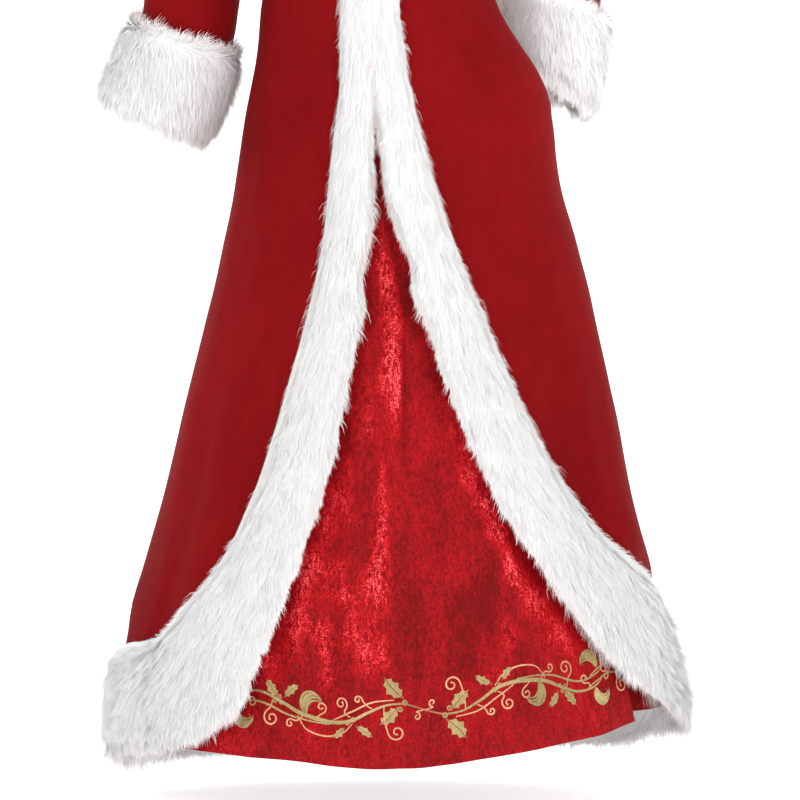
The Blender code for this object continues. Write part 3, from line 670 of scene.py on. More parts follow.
def hem_seam_z(angle):
    """How high the hem fur's upper seam is, all round."""
    rows = np.linspace(LEFT_CORNER_ROW, LAST_BAND_ROW, 60)
    seams = [band_point(band, rows, 1.0) for band in (LEFT_BAND, RIGHT_BAND)]
    left, right = (np.interp(np.abs(angle), np.abs(seam[:, 0]), seam[:, 1]) for seam in seams)
    return np.where(np.asarray(angle) > 0, left, right)


def round_grain(angle, z, height, bumps, size, seed):
    """Random relief with a number of bumps round the dress, each of one size up it."""
    return height * grain(angle / FULL_TURN * bumps, z / size, seed, bumps)


def flat_grain(across, z, height, width, size, seed):
    """Random relief with bumps of one width and one size up the dress."""
    return height * grain(across / width, z / size, seed)


def robe_x(angle, z):
    """How far to the side the robe's face is."""
    return robe_size("centre_x", z) + robe_size("half_width", z) * np.sin(angle)


def robe_relief(angle, z):
    """Small folds and unevenness of the robe's cloth."""
    x = robe_x(angle, z)
    front = np.cos(angle) > 0
    creases = np.where(front, along_lines(ROBE_CREASES, x, z), along_lines(BACK_CREASES, x, z))
    creases = creases * ramp(np.abs(np.cos(angle)), 0.0, 0.30)
    soft = round_grain(angle, z, *ROBE_SOFT) + round_grain(angle, z, *ROBE_FINE)
    above_hem = z - hem_seam_z(angle)
    turning_back = ramp(np.cos(angle), 0.45, -0.10)
    flutes = round_grain(angle, z, *ROBE_FLUTES) * ramp(z, -0.62, -1.05) * turning_back
    flutes = flutes * (0.20 + 0.80 * ramp(above_hem, 0.01, 0.14))
    at_waist = np.exp(-(((z - WAIST_Z) / 0.06) ** 2))
    waist = round_grain(angle, z, *WAIST_PULLS) * at_waist * turning_back
    fuller = 0.0
    for side, height, start, end in FULLER:
        fuller = fuller + height * ramp(side * np.sin(angle), 0.55, 0.95) * ramp(z, start, end)
    total = creases + soft + flutes + waist + fuller * ramp(above_hem, 0.010, 0.060)
    by_armhole = ramp(z, -0.27, -0.20) * ramp(np.abs(x), 0.115, 0.155)
    by_neck = ramp(z, -0.10, 0.0)
    return total * (1 - by_armhole) * (1 - by_neck)


def underskirt_relief(angle, z):
    """Narrow soft flutes and unevenness of the front skirt."""
    across = angle * LENGTH_SCALE
    lower = ramp(z, -0.60, -1.10)
    flutes = flat_grain(across, z, *SKIRT_FLUTES) * lower
    folds = along_lines(SKIRT_FOLDS, robe_x(angle, z), z)
    return flutes + folds + flat_grain(across, z, *SKIRT_FINE)


def with_relief(face, relief):
    """The face pushed out by its relief."""

    def points(angle, z):
        return moved_out(face, angle, z, relief(angle, z))

    return points


def crossed(down, over):
    """Two arrays of one grid: values that change down its rows, and values that change across."""
    return np.broadcast_arrays(down[:, None], over[None])


def quads_of(rows, columns, start=0, closed=False):
    """The quads of a grid of points, row by row; closed joins the last column to the first."""
    place = start + np.arange(rows * columns).reshape(rows, columns)
    if closed:
        place = np.concatenate([place, place[:, :1]], 1)
    corners = (place[:-1, :-1], place[:-1, 1:], place[1:, 1:], place[1:, :-1])
    return np.stack(corners, -1).reshape(-1, 4)


def make_mesh(name, points, quads, triangles=None, looks=(), slots=None):
    """A mesh object from arrays of points, quads and triangles."""
    mesh = bpy.data.meshes.new(name)
    mesh.vertices.add(len(points))
    mesh.vertices.foreach_set("co", np.asarray(points, np.float32).ravel())
    triangles = np.zeros((0, 3), int) if triangles is None else triangles
    corners = np.concatenate([quads.ravel(), triangles.ravel()]).astype(np.int32)
    mesh.loops.add(len(corners))
    mesh.loops.foreach_set("vertex_index", corners)
    quad_starts = np.arange(len(quads)) * 4
    triangle_starts = len(quads) * 4 + np.arange(len(triangles)) * 3
    starts = np.concatenate([quad_starts, triangle_starts]).astype(np.int32)
    mesh.polygons.add(len(starts))
    mesh.polygons.foreach_set("loop_start", starts)
    for look in looks:
        mesh.materials.append(look)
    if slots is not None:
        mesh.polygons.foreach_set("material_index", np.asarray(slots, np.int32))
    mesh.update(calc_edges=True)
    mesh.shade_smooth()
    made = bpy.data.objects.new(name, mesh)
    bpy.context.scene.collection.objects.link(made)
    return made


def number_on(obj, name, values):
    """Keeps a number at each vertex, for the material to read."""
    kept = obj.data.attributes.new(name, "FLOAT", "POINT")
    kept.data.foreach_set("value", np.asarray(values, np.float32).ravel())


def shell(name, outer, inner, outer_look, inner_look, tube=False):
    """A sheet with two faces and a turned edge, from grids of its outer and inner points."""
    if tube:
        outer, inner = outer[:, :-1], inner[:, :-1]
    rows, columns = outer.shape[:2]
    count = rows * columns
    outside = quads_of(rows, columns, 0, tube)
    inside = quads_of(rows, columns, count, tube)[:, ::-1]
    place = np.arange(count).reshape(rows, columns)
    if tube:
        bottom = np.append(place[0], place[0, 0])
        top = np.append(place[-1], place[-1, 0])
        rims = (bottom[::-1], top)
    else:
        around = (place[0], place[1:, -1], place[-1, -2::-1], place[-2::-1, 0])
        rims = (np.concatenate(around)[::-1],)
    edges = [np.stack([rim[:-1], rim[1:], rim[1:] + count, rim[:-1] + count], -1) for rim in rims]
    edges = np.concatenate(edges)
    quads = np.concatenate([outside, inside, edges])
    points = np.concatenate([outer.reshape(-1, 3), inner.reshape(-1, 3)])
    first = points[quads[0]]
    facing = np.cross(first[1] - first[0], first[3] - first[0])
    if facing @ (points[0] - points[count]) < 0:
        quads = quads[:, ::-1]
    slots = np.repeat([0, 1, 1], [len(outside), len(inside), len(edges)])
    made = make_mesh(name, points, quads, None, (outer_look, inner_look), slots)
    in_rim = np.zeros(2 * count, bool)
    for rim in rims:
        in_rim[rim] = True
        in_rim[rim + count] = True
    ends = np.zeros(2 * len(made.data.edges), np.int32)
    made.data.edges.foreach_get("vertices", ends)
    ends = ends.reshape(-1, 2)
    sharp = in_rim[ends].all(1) & ((ends[:, 0] < count) == (ends[:, 1] < count))
    kept = made.data.attributes.new("sharp_edge", "BOOLEAN", "EDGE")
    kept.data.foreach_set("value", sharp)
    return made


def cloth_shell(name, face, relief, grid, thickness, outer_look, inner_look):
    angle, z = grid[..., 0], grid[..., 1]
    raised = relief(angle, z)
    outer = moved_out(face, angle, z, raised)
    inner = moved_out(face, angle, z, raised - thickness)
    return shell(name, outer, inner, outer_look, inner_look)


def widths_of(points):
    """The width of each row of a sheet's grid of points, along the sheet."""
    return np.linalg.norm(np.diff(points, axis=1), axis=-1).sum(1)


def distances(line):
    """How far each point of a line is from its start, along the line."""
    return np.concatenate([[0.0], np.cumsum(np.linalg.norm(np.diff(line, axis=0), axis=-1))])


def flat_size(points):
    """The width and length of a sheet's grid of points, and its area, laid flat."""
    down = np.linalg.norm(np.diff(points, axis=0), axis=-1).sum(0)
    one = np.cross(points[1:, :-1] - points[:-1, :-1], points[:-1, 1:] - points[:-1, :-1])
    two = np.cross(points[1:, :-1] - points[1:, 1:], points[:-1, 1:] - points[1:, 1:])
    area = (np.linalg.norm(one, axis=-1) + np.linalg.norm(two, axis=-1)).sum() / 2
    return widths_of(points).max(), down.max(), area


def declare_cloth(obj, points):
    """Works out a piece's width, length and area laid flat, which nothing then uses, and hangs the
    piece on the root.
    """
    width, length, area = flat_size(points)
    width = round(width * FLAT_EASE, 3)
    length = round(length * FLAT_EASE, 3)
    area = min(area, width * length)
    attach(obj, "root")


# Fur: a ground that fills most of the pile's height, and hairs that cover it

BAND_SPLAY = 0.42  # how far the hairs part towards both edges of a strip
CUFF_SPLAY = 0.60
PILE_LOCK = (0.020, 0.0042)  # length and width of a lock
LOOSE_LOCK = (0.014, 0.005)
PILE_HALF_WIDTHS = (0.00034, 0.00062)
LOOSE_HALF_WIDTHS = (0.00024, 0.00046)
LOOSE_LONGER = 1.15  # how much longer the loose hairs are than the pile
PILE_TUFT = 0.010  # how long the tufts are at a strip's rims
LOOSE_TUFT = 0.012


def edge_inset(band, row):
    """How far a strip's fur stays inside its free edge, as a share of the strip's width."""
    is_left = band is LEFT_BAND
    inset = smooth(INSETS, INSET_LINE, "edge", row)
    for middle, span, share in LEFT_EDGE_WAVES if is_left else RIGHT_EDGE_WAVES:
        inset = inset + share * np.exp(-(((row - middle) / span) ** 2))
    inset = inset + EDGE_UNEVEN * grain(row * 2.6, 0.5 + 0 * row, 61 + is_left)
    return inset * opened(row)


def opened(row):
    """0 where the two front bands touch, 1 where they have parted."""
    return ramp(row, SPLIT_ROW - 1.2, SPLIT_ROW + 0.8)


def section(table, column, at):
    """A fur section's backing, tips or height (column 0, 1 or 2), at shares across it."""
    return np.interp(at, np.linspace(0.0, 1.0, len(table)), [line[column] for line in table])


def over_robe(band, rows, share, distance):
    """Points above the robe, at rows of a band's table and shares of its width."""
    at = band_point(band, rows, share)
    return moved_out(robe_face, at[..., 0], at[..., 1], distance)


def band_surface(band, row, q, rise):
    """Points of a fur band: by row, q across its section, and rise as a share of its pile."""
    row, q, rise = np.broadcast_arrays(row, q, rise)
    tips = section(FUR_SECTION, 1, q)
    height = section(FUR_SECTION, 2, q)
    at_edge = edge_inset(band, row)
    at_hem = ramp(row, 11.0, 15.0)
    height = height * (1 - HEM_SLOPE * at_hem * q**2)
    height = height * (1 - HEM_RIM_SLOPE * at_hem * ramp(q, 0.90, 1.0))
    at_seam = smooth(INSETS, INSET_LINE, "left_seam" if band is LEFT_BAND else "right_seam", row)
    tips = at_edge + (1.0 - at_edge - at_seam) * tips
    height = height + (1 - height) * (1 - opened(row)) * (q < 0.5)
    pile = smooth(band, BAND_COLUMNS, "pile", row)
    return over_robe(band, row, tips, pile * height * rise)


def cuff_surface(side, table, along, around, rise):
    """Points of a cuff at shares of its length and angles round it, at a share of its pile."""
    share = 1.0 - CUFF_SHARE + CUFF_SHARE * (0.03 + 0.94 * section(CUFF_SECTION, 1, along))
    height = section(CUFF_SECTION, 2, along)
    return sleeve_points(side, table, share, around, out=CUFF_GAP + CUFF_PILE * height * rise)


def ground_frame(points, raised):
    """At each point of a ground's grid: its place, and the directions along, across and outward."""
    along = unit(np.gradient(points, axis=0))
    across = unit(np.gradient(points, axis=1))
    outward = np.cross(along, across)
    outward = outward * np.sign((outward * (raised - points)).sum(-1))[..., None]
    return np.concatenate([points, along, across, unit(outward)], -1)


def between(grid, u, v):
    """Values of a grid at shares u of its rows and v of its columns."""
    rows, columns = grid.shape[:2]
    y = np.clip(u, 0.0, 1.0) * (rows - 1)
    x = np.clip(v, 0.0, 1.0) * (columns - 1)
    i = np.minimum(y.astype(int), rows - 2)
    j = np.minimum(x.astype(int), columns - 2)
    y = (y - i)[:, None]
    x = (x - j)[:, None]
    low = grid[i, j] * (1 - x) + grid[i, j + 1] * x
    high = grid[i + 1, j] * (1 - x) + grid[i + 1, j + 1] * x
    return low * (1 - y) + high * y


def locks_of(u, v, sizes, lock, seed):
    """The lock that each hair at (u, v) belongs to: its middle, and four numbers of its own."""
    step_u, step_v = lock[0] / sizes[0], lock[1] / sizes[1]
    column = np.floor(v / step_v)
    shift = np.random.default_rng(seed).uniform(0.0, 1.0, 4096)[column.astype(int) % 4096]
    row = np.floor(u / step_u + shift)
    key = (row * 7919 + column * 104729).astype(np.int64) % 4096
    own = np.random.default_rng(seed + 1).uniform(-1.0, 1.0, (4, 4096))[:, key]
    middle_u = (row + 0.5 - shift + 0.4 * own[0]) * step_u
    middle_v = (column + 0.5 + 0.4 * own[1]) * step_v
    return middle_u, middle_v, own


def combed_at(normal, along, across, v, own, rng, splay, spread, kind):
    """How each hair is combed: down, along the strip, out at its edges, a little its own way."""
    down = np.array([0.0, 0.0, -1.0])
    hang = unit(down - normal * (normal @ down)[:, None] + kind["along"][:, None] * along)
    off_centre = 2 * v - 1
    lean = np.where(off_centre > 0, 0.60, -1.3) * off_centre**2 * splay
    lean = lean * (1 + 0.8 * own[1])
    rim_share = np.clip((v - kind["from"]) / (1.0 - kind["from"]), 0.0, 1.0)
    at_rim = kind["up"] * rim_share - kind["out"] * ramp(v, 0.16, 0.0)
    turn = rng.normal(0.0, spread, (len(v), 1)) + 0.20 * own[2][:, None]
    combed = hang * (1 - 0.75 * np.minimum(np.abs(at_rim), 1.0))[:, None]
    combed = combed + (lean + at_rim)[:, None] * across
    return unit(combed + np.cross(hang, normal) * turn)


def rooted(grid, u, v):
    """Where hairs are rooted, and the directions there, rounded off towards a strip's rims."""
    base = between(grid, u, v)[:, :3]
    turned = between(grid, u, np.clip(v, 0.16, 0.82))[:, 3:]
    along, across, normal = np.split(turned, 3, axis=1)
    return base, unit(along), unit(across), unit(normal)


def hair_corners(corners, shown, tone, toward_tip, painted_red_bounce):
    """Hairs as arrays: their corners, how each is shaded, and the numbers that the look reads."""
    count, each = len(tone), len(toward_tip)
    tone, painted_red_bounce = (np.repeat(number[:, None], each, 1) for number in (tone, painted_red_bounce))
    numbers = np.stack([tone, np.tile(toward_tip, (count, 1)), painted_red_bounce], -1)
    return np.stack(corners, 1), shown, numbers


def pile_hairs(grid, u, v, sizes, reach, seed, splay, nature):
    """The dense pile: straight tapered hairs, one triangle each, gathered into soft locks."""
    rng = np.random.default_rng(seed)
    count = len(u)
    kind = nature(u, v)
    calm = kind["uneven"]
    middle_u, middle_v, own = locks_of(u, v, sizes, PILE_LOCK, seed)
    base, along, across, normal = rooted(grid, u, v)
    combed = combed_at(normal, along, across, v, own, rng, splay, 0.15, kind)
    at_edge = np.maximum(-(combed * across).sum(-1), 0.0) * ramp(v, 0.30, 0.0)
    at_rim = ramp(v, 0.14, 0.0) + ramp(v, 0.88, 1.0)
    tuft = grain(u * sizes[0] / PILE_TUFT, 0.5 + 0 * u, seed + 5)
    length = reach * (1.0 + 0.20 * own[3] + rng.uniform(-0.30, 0.12, count)) * (1 - 0.40 * at_edge)
    length = length * (1 + 0.32 * tuft * at_rim) * (1 - 0.30 * kind["up"] * ramp(v, 0.86, 1.0))
    lift = (rng.uniform(0.10, 0.40, count) + 0.10 * own[0]) * kind["lift"]
    gathered = GATHERED * rng.uniform(0.4, 1.0, count)
    to_tip = between(grid, u + (middle_u - u) * gathered, v + (middle_v - v) * gathered)[:, :3]
    tip = to_tip + (combed + normal * lift[:, None]) * length[:, None]
    tip[:, 2] -= length * kind["fall"] * 0.7
    wide = unit(np.cross(combed, normal)) * rng.uniform(*PILE_HALF_WIDTHS, (count, 1))
    leaning = (0.20 * own[2] * calm)[:, None] * across
    bent = unit(normal + rng.normal(0.0, UNEVEN_NORMAL, (count, 3)) * calm[:, None] + leaning)
    toward = combed[:, None] * np.array([0.0, 0.0, 0.18])[None, :, None]
    shown = unit(np.repeat(bent[:, None], 3, 1) + toward)
    tone = kind["tone"] + calm * (0.24 * own[2] + 0.14 * own[1] + rng.normal(0.0, 0.17, count))
    corners = (base - wide, base + wide, tip)
    return hair_corners(corners, shown, tone, (0.25, 0.25, 1.0), kind["painted_red_bounce"])


def loose_hairs(grid, u, v, sizes, reach, seed, splay, nature, wild):
    """Longer bent hairs: a quad and a triangle each."""
    rng = np.random.default_rng(seed + 7)
    count = len(u)
    kind = nature(u, v)
    middle_u, middle_v, own = locks_of(u, v, sizes, LOOSE_LOCK, seed + 3)
    base, along, across, normal = rooted(grid, u, v)
    combed = combed_at(normal, along, across, v, own, rng, splay, wild, kind)
    tuft = grain(u * sizes[0] / LOOSE_TUFT, 0.5 + 0 * u, seed + 9)
    at_edge = np.maximum(-(combed * across).sum(-1), 0.0) * ramp(v, 0.30, 0.0)
    length = reach * (0.85 + 0.40 * tuft) * rng.uniform(0.60, 1.45, count) * (1 - 0.25 * at_edge)
    length = (length * (1 + (kind["long"] - 1) * ramp(v, 0.3, 0.1)))[:, None]
    lift = (rng.uniform(0.10, 0.55, count) * kind["lift"])[:, None]
    to_tip = between(grid, u + (middle_u - u) * 0.45, v + (middle_v - v) * 0.45)[:, :3]
    bow = rng.normal(0.0, 0.05, (count, 3))
    middle = (base + to_tip) / 2 + (combed * 0.50 + normal * lift * 0.60 + bow) * length
    tip = to_tip + (combed * 0.98 + normal * lift * 0.70) * length
    tip[:, 2] -= length[:, 0] * kind["fall"]
    wide = unit(np.cross(combed, normal)) * rng.uniform(*LOOSE_HALF_WIDTHS, (count, 1))
    bent = unit(normal + rng.normal(0.0, UNEVEN_NORMAL, (count, 3)))
    shown = np.repeat(bent[:, None], 5, 1)
    tone = kind["tone"] + 0.10 + 0.12 * own[2] + rng.normal(0.0, 0.18, count)
    corners = (base - wide, base + wide, middle + wide * 0.8, middle - wide * 0.8, tip)
    return hair_corners(corners, shown, tone, (0.4, 0.4, 0.8, 0.8, 1.0), kind["painted_red_bounce"])


def make_pile(strip, grid, counts, u, v, sizes, reach, seed, splay, nature, inside=None):
    """All of a strip's hairs: the dense pile, loose hairs near its rims, strands off its edge."""
    rng = np.random.default_rng(seed + 13)
    near = rng.uniform(0.0, 1.0, counts[1]) ** 2.2 * 0.5
    v_loose = np.where(rng.uniform(0.0, 1.0, counts[1]) < 0.5, near, 1.0 - near)
    u_loose = rng.uniform(0.0, 1.0, counts[1])
    v_strand = rng.uniform(0.0, 1.0, counts[2]) ** 1.5 * 0.08
    u_strand = rng.uniform(0.0, 1.0, counts[2])
    longer, strand = reach[0] * LOOSE_LONGER, reach[1]
    parts = [
        pile_hairs(grid, u, v, sizes, reach[0], seed, splay, nature),
        loose_hairs(grid, u_loose, v_loose, sizes, longer, seed, splay, nature, 0.30),
        loose_hairs(grid, u_strand, v_strand, sizes, strand, seed + 20, splay * 0.6, nature, 0.20),
    ]
    bent_count = counts[1] + counts[2]
    if inside is not None:
        u_in, v_in = rng.uniform(0.0, 1.0, (2, HEM_INSIDE_HAIRS))
        v_in = v_in**1.5 * 0.9
        parts.append(loose_hairs(inside, u_in, v_in, sizes, strand, seed + 40, 0.0, nature, 0.2))
        bent_count += HEM_INSIDE_HAIRS
    points, shown, numbers = (
        np.concatenate([one.reshape(-1, one.shape[-1]) for one in alike]) for alike in zip(*parts)
    )
    triangles = np.arange(counts[0] * 3).reshape(-1, 3)
    first = counts[0] * 3 + np.arange(bent_count)[:, None] * 5
    quads = first + np.array([[0, 1, 2, 3]])
    triangles = np.concatenate([triangles, first + np.array([[3, 2, 4]])])
    pile = make_mesh(strip.name + "_pile", points, quads, triangles, (fur,))
    pile.data.normals_split_custom_set_from_vertices(shown.tolist())
    for column, number in enumerate(("tone", "toward_tip", "painted_red_bounce")):
        number_on(pile, number, np.clip(numbers[:, column], 0.0, 1.0))
    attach(pile, "root")
    pile.parent = strip


def band_fur(part, side_name, band, ends, counts, reach, seed):
    """One fur strip of a band: the ground it is made on, and its hairs."""
    first, last = ends
    rows, q = crossed(np.linspace(first, last, 111), np.linspace(0.0, 1.0, 19))
    outer = band_surface(band, rows, q, GROUND_SHARE)
    backing = np.maximum(section(FUR_SECTION, 0, q), edge_inset(band, rows) - GROUND_BELOW_EDGE)
    inner = over_robe(band, rows, backing, -ROBE_CLOTH)
    at_hem = part == "hem"
    name = "fur_" + part + "_" + side_name
    strip = shell(name, outer, inner, ground, ground if at_hem else facing)
    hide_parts(part + "_fur_" + side_name)
    declare_cloth(strip, inner)

    fine = np.linspace(first, last, 801)
    run = distances(band_surface(band, fine, 0.5, GROUND_SHARE))
    rows_along = np.interp(np.linspace(0.0, run[-1], 501), run, fine)
    even, q = crossed(rows_along, np.linspace(0.0, 1.0, 41))
    points = band_surface(band, even, q, GROUND_SHARE)
    grid = ground_frame(points, band_surface(band, even, q, 1.0))
    widths = widths_of(points)
    filled = np.concatenate([[0.0], np.cumsum((widths[1:] + widths[:-1]) / 2)])
    rng = np.random.default_rng(seed)
    u = np.interp(rng.uniform(0.0, filled[-1], counts[0]), filled, np.linspace(0.0, 1.0, 501))
    v = np.clip(rng.uniform(-0.02, 1.02, counts[0]), 0.0, 1.0)
    sizes = (run[-1], widths.mean())
    turns = band_point(band, fine, 0.3)[:, 0]

    def turned_to(row):
        return np.interp(row, fine, turns)

    def at_side(turn):
        return at_hem * np.exp(-(((turn - math.pi / 2 - 0.1) / 0.45) ** 2))

    inside = None
    if at_hem:
        share = np.maximum(edge_inset(band, even) - GROUND_BELOW_EDGE, 0.02) + 0.6 * q
        within = over_robe(band, even, share, -ROBE_CLOTH)
        inside = ground_frame(within, 2 * within - points)

    def nature(u, v):
        """How the hairs at (u, v) lie and look.

        "out" and "up" say how far they part at the free edge and at the seam, "from" where the
        second begins, "along" how far they are combed along the strip, "lift" how far they stand
        up, "fall" how far their tips sink, and "long" how long the strands are. "tone" is their
        lightness and "uneven" how much it varies. The last key is painted light: how much red,
        bounced from the cloth into the shade by its edges, they show.
        """
        row = np.interp(u, np.linspace(0.0, 1.0, len(rows_along)), rows_along)
        by_slit = ramp(row, 3.9, 4.8) * (1 - ramp(row, 6.6, 8.0))
        behind = at_hem * ramp(np.abs(turned_to(row)), 1.20, 1.65)
        patches = np.clip(0.5 + grain(u * sizes[0] / 0.012, v * 6, seed + 2), 0.0, 1.0)
        return {
            "out": 0.05,
            "from": 0.93 - 0.15 * behind,
            "up": (0.25 + 0.25 * ramp(row, 12.0, 15.0)) * (1 - behind) + 1.15 * behind,
            "fall": 0.12,
            "tone": 0.50,
            "long": 1.0 + at_hem * (np.interp(turned_to(row), *FRINGE_LENGTHS) - 1.0),
            "along": 0.90 - 0.85 * ramp(row, 9.0, 16.0),
            "lift": 1.0 + 0.5 * ramp(row, 12.0, 16.0) + 1.1 * at_side(turned_to(row)),
            "uneven": 0.55 + 0.45 * ramp(row, 2.5, 6.0),
            # Painted light: red light bounced from the cloth, tinting the hair by the slit and
            # along the free edge.
            "painted_red_bounce": patches * (0.60 * by_slit * ramp(v, 0.14, 0.0) + 0.30 * ramp(v, 0.05, 0.0)),
        }

    make_pile(strip, grid, counts, u, v, sizes, reach, seed, BAND_SPLAY, nature, inside)


def cuff_fur(side_name, side, table, seed):
    """One fur cuff: the ground it is made on, and its hairs."""
    along, around = crossed(np.linspace(0.0, 1.0, 17), np.linspace(0.0, FULL_TURN, 73))
    outer = cuff_surface(side, table, along, around, GROUND_SHARE)
    backing = 1.0 - CUFF_SHARE + CUFF_SHARE * section(CUFF_SECTION, 0, along)
    inner = sleeve_points(side, table, backing, around, out=CUFF_GAP)
    strip = shell("fur_cuff_" + side_name, outer, inner, ground, facing, tube=True)
    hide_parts("cuff_fur_" + side_name)
    declare_cloth(strip, inner)

    around, along = crossed(np.linspace(0.0, FULL_TURN, 241), np.linspace(1.0, 0.0, 41))
    points = cuff_surface(side, table, along, around, GROUND_SHARE)
    grid = ground_frame(points, cuff_surface(side, table, along, around, 1.0))
    grid[-1] = grid[0]
    rng = np.random.default_rng(seed)
    u = rng.uniform(0.0, 1.0, CUFF_HAIRS[0])
    v = np.clip(rng.uniform(-0.03, 1.03, CUFF_HAIRS[0]), 0.0, 1.0)
    run = np.linalg.norm(np.diff(points[:, 20], axis=0), axis=-1).sum()
    sizes = (run, widths_of(points).mean())

    def nature(u, v):
        return {
            "out": 0.45,
            "from": 0.84,
            "up": 0.95,
            "fall": 0.22,
            # Painted light: the cuffs' hair is made much lighter than the bands', and the left
            # cuff, which lies in the robe's shade, lighter still.
            "tone": 0.90 if side > 0 else 0.84,
            "long": 1.0,
            "along": np.zeros(len(u)),
            "lift": 1.7,
            "uneven": np.full(len(u), 1.1),
            # Painted light: red light bounced from the sleeve, tinting the hair at the cuff's rim.
            "painted_red_bounce": 0.25 * ramp(v, 0.95, 1.0),
        }

    make_pile(strip, grid, CUFF_HAIRS, u, v, sizes, CUFF_REACH, seed, CUFF_SPLAY, nature)


# Materials


def by_maths(operation, turned=False):
    """A method that works out a new value from its own and another, by one more shader node."""

    def joined(self, other=0.0):
        node = self.tree.nodes.new("ShaderNodeMath")
        node.operation = operation
        for socket, value in zip(node.inputs, (other, self) if turned else (self, other)):
            if isinstance(value, Value):
                self.tree.links.new(value.socket, socket)
            else:
                socket.default_value = value
        return Value(self.tree, node.outputs[0])

    return joined


class Value:
    """A number that shader nodes work out."""

    def __init__(self, tree, socket):
        self.tree = tree
        self.socket = socket

    __add__ = by_maths("ADD")
    __sub__ = by_maths("SUBTRACT")
    __rsub__ = by_maths("SUBTRACT", turned=True)
    __mul__ = by_maths("MULTIPLY")
    __abs__ = by_maths("ABSOLUTE")
    at_least = by_maths("MAXIMUM")
    at_most = by_maths("MINIMUM")

    def clamped(self):
        self.socket.node.use_clamp = True
        return self


class Look:
    """A material: some settings of its shader, and nodes for its colour and its fine relief."""

    def __init__(self, name, **settings):
        self.made = bpy.data.materials.new(name)
        self.made.use_nodes = True
        self.tree = self.made.node_tree
        self.shader = self.tree.nodes["Principled BSDF"]
        for key, value in settings.items():
            self.shader.inputs[key.replace("_", " ")].default_value = value

    def noise(self, scale, detail=2.0, upward=1.0, across=1.0):
        """A noise over the object's own space, stretched upward and across."""
        place = self.tree.nodes.new("ShaderNodeTexCoord")
        sized = self.tree.nodes.new("ShaderNodeMapping")
        sized.inputs["Scale"].default_value = (across, across, upward)
        made = self.tree.nodes.new("ShaderNodeTexNoise")
        made.inputs["Scale"].default_value = scale
        made.inputs["Detail"].default_value = detail
        self.tree.links.new(place.outputs["Object"], sized.inputs["Vector"])
        self.tree.links.new(sized.outputs["Vector"], made.inputs["Vector"])
        return Value(self.tree, made.outputs["Fac"])

    def number(self, name):
        """A number kept at each vertex."""
        node = self.tree.nodes.new("ShaderNodeAttribute")
        node.attribute_name = name
        return Value(self.tree, node.outputs["Fac"])

    def ramp(self, value, stops):
        """A colour ramp through (position, colour) stops."""
        node = self.tree.nodes.new("ShaderNodeValToRGB")
        line = node.color_ramp
        while len(line.elements) < len(stops):
            line.elements.new(0.5)
        for element, (position, colour) in zip(line.elements, stops):
            element.position = position
            element.color = (*colour, 1.0)
        self.tree.links.new(value.socket, node.inputs["Fac"])
        return node.outputs["Color"]

    def paint(self, colour):
        self.tree.links.new(colour, self.shader.inputs["Base Color"])

    def emboss(self, height, strength, distance):
        """Fine relief, up to a distance high."""
        node = self.tree.nodes.new("ShaderNodeBump")
        node.inputs["Strength"].default_value = strength
        node.inputs["Distance"].default_value = distance
        self.tree.links.new(height.socket, node.inputs["Height"])
        self.tree.links.new(node.outputs["Normal"], self.shader.inputs["Normal"])


def velour_look():
    """Dull red velour: a fine even nap, brushed a little lighter and darker in soft areas."""
    sheen = {"Sheen_Weight": 0.03, "Sheen_Roughness": 0.42, "Sheen_Tint": (1.0, 0.14, 0.14, 1.0)}
    look = Look("red_velour_cloth", Roughness=0.88, Specular_IOR_Level=0.05, **sheen)
    broad = look.noise(6.0, 2.0, 0.6)
    brushed = look.noise(48.0, 3.0, 0.5)
    nap = look.noise(780.0, 2.0, 0.45)
    tone = broad * 0.55 + brushed * 0.25 + (nap - 0.25) * 0.45
    stops = ((0.30, (0.126, 0.0017, 0.0026)), (0.70, (0.204, 0.0040, 0.0054)))
    look.paint(look.ramp(tone, stops))
    look.emboss(nap + brushed * 0.8, 0.35, 0.0006)
    return look.made


def velvet_look():
    """Crushed velvet: red, with painted sheen in bright, broken streaks, and painted shade in
    darker streaks.
    """
    sheen = {"Sheen_Weight": 0.10, "Sheen_Roughness": 0.35, "Sheen_Tint": (1.0, 0.06, 0.07, 1.0)}
    look = Look("red_crushed_velvet_cloth", Roughness=0.60, Specular_IOR_Level=0.09, **sheen)
    sheen_and_shade = look.number("painted_sheen_and_shade")
    streaks = look.noise(90.0, 4.0, 0.35)
    flecks = look.noise(260.0, 3.0, 0.42)
    fine = look.noise(620.0, 2.0, 0.70)
    broad = look.noise(20.0, 3.0, 0.35)
    lines = (1.0 - abs(flecks - 0.52) * 14.0).clamped()
    crushed = (streaks - 0.5) * 0.9 + (flecks - 0.5) * 1.5 + (fine - 0.5) * 2.3
    lifted, sunk = crushed.at_least(0.0), crushed.at_most(0.0)
    # Painted highlight: glint and shine brighten the colour along the painted sheen streaks, up to
    # the pinkish last stop.
    glint = lines * 0.46 + lifted * 1.3 + sunk * 0.7 + 0.36
    shine = (sheen_and_shade.at_least(0.0) * glint).clamped()
    even = (broad - 0.5) * 0.48 + lifted * 0.42 + sunk * 0.24 + lines * 0.10
    # Painted shade: where the streaks' strength is below zero, they darken the colour.
    even = even + sheen_and_shade.at_most(0.0) * 0.19 + 0.168
    even = (even - look.number("hem_zone") * 0.03).clamped()
    stops = (
        (0.00, (0.150, 0.0012, 0.0018)),
        (0.30, (0.330, 0.0030, 0.0058)),
        (0.60, (0.560, 0.0100, 0.0160)),
        (1.00, (0.880, 0.1150, 0.1300)),
    )
    look.paint(look.ramp((even + shine * 0.62).clamped(), stops))
    look.emboss(flecks + fine * 0.5 + streaks * 0.7, 0.40, 0.0012)
    return look.made


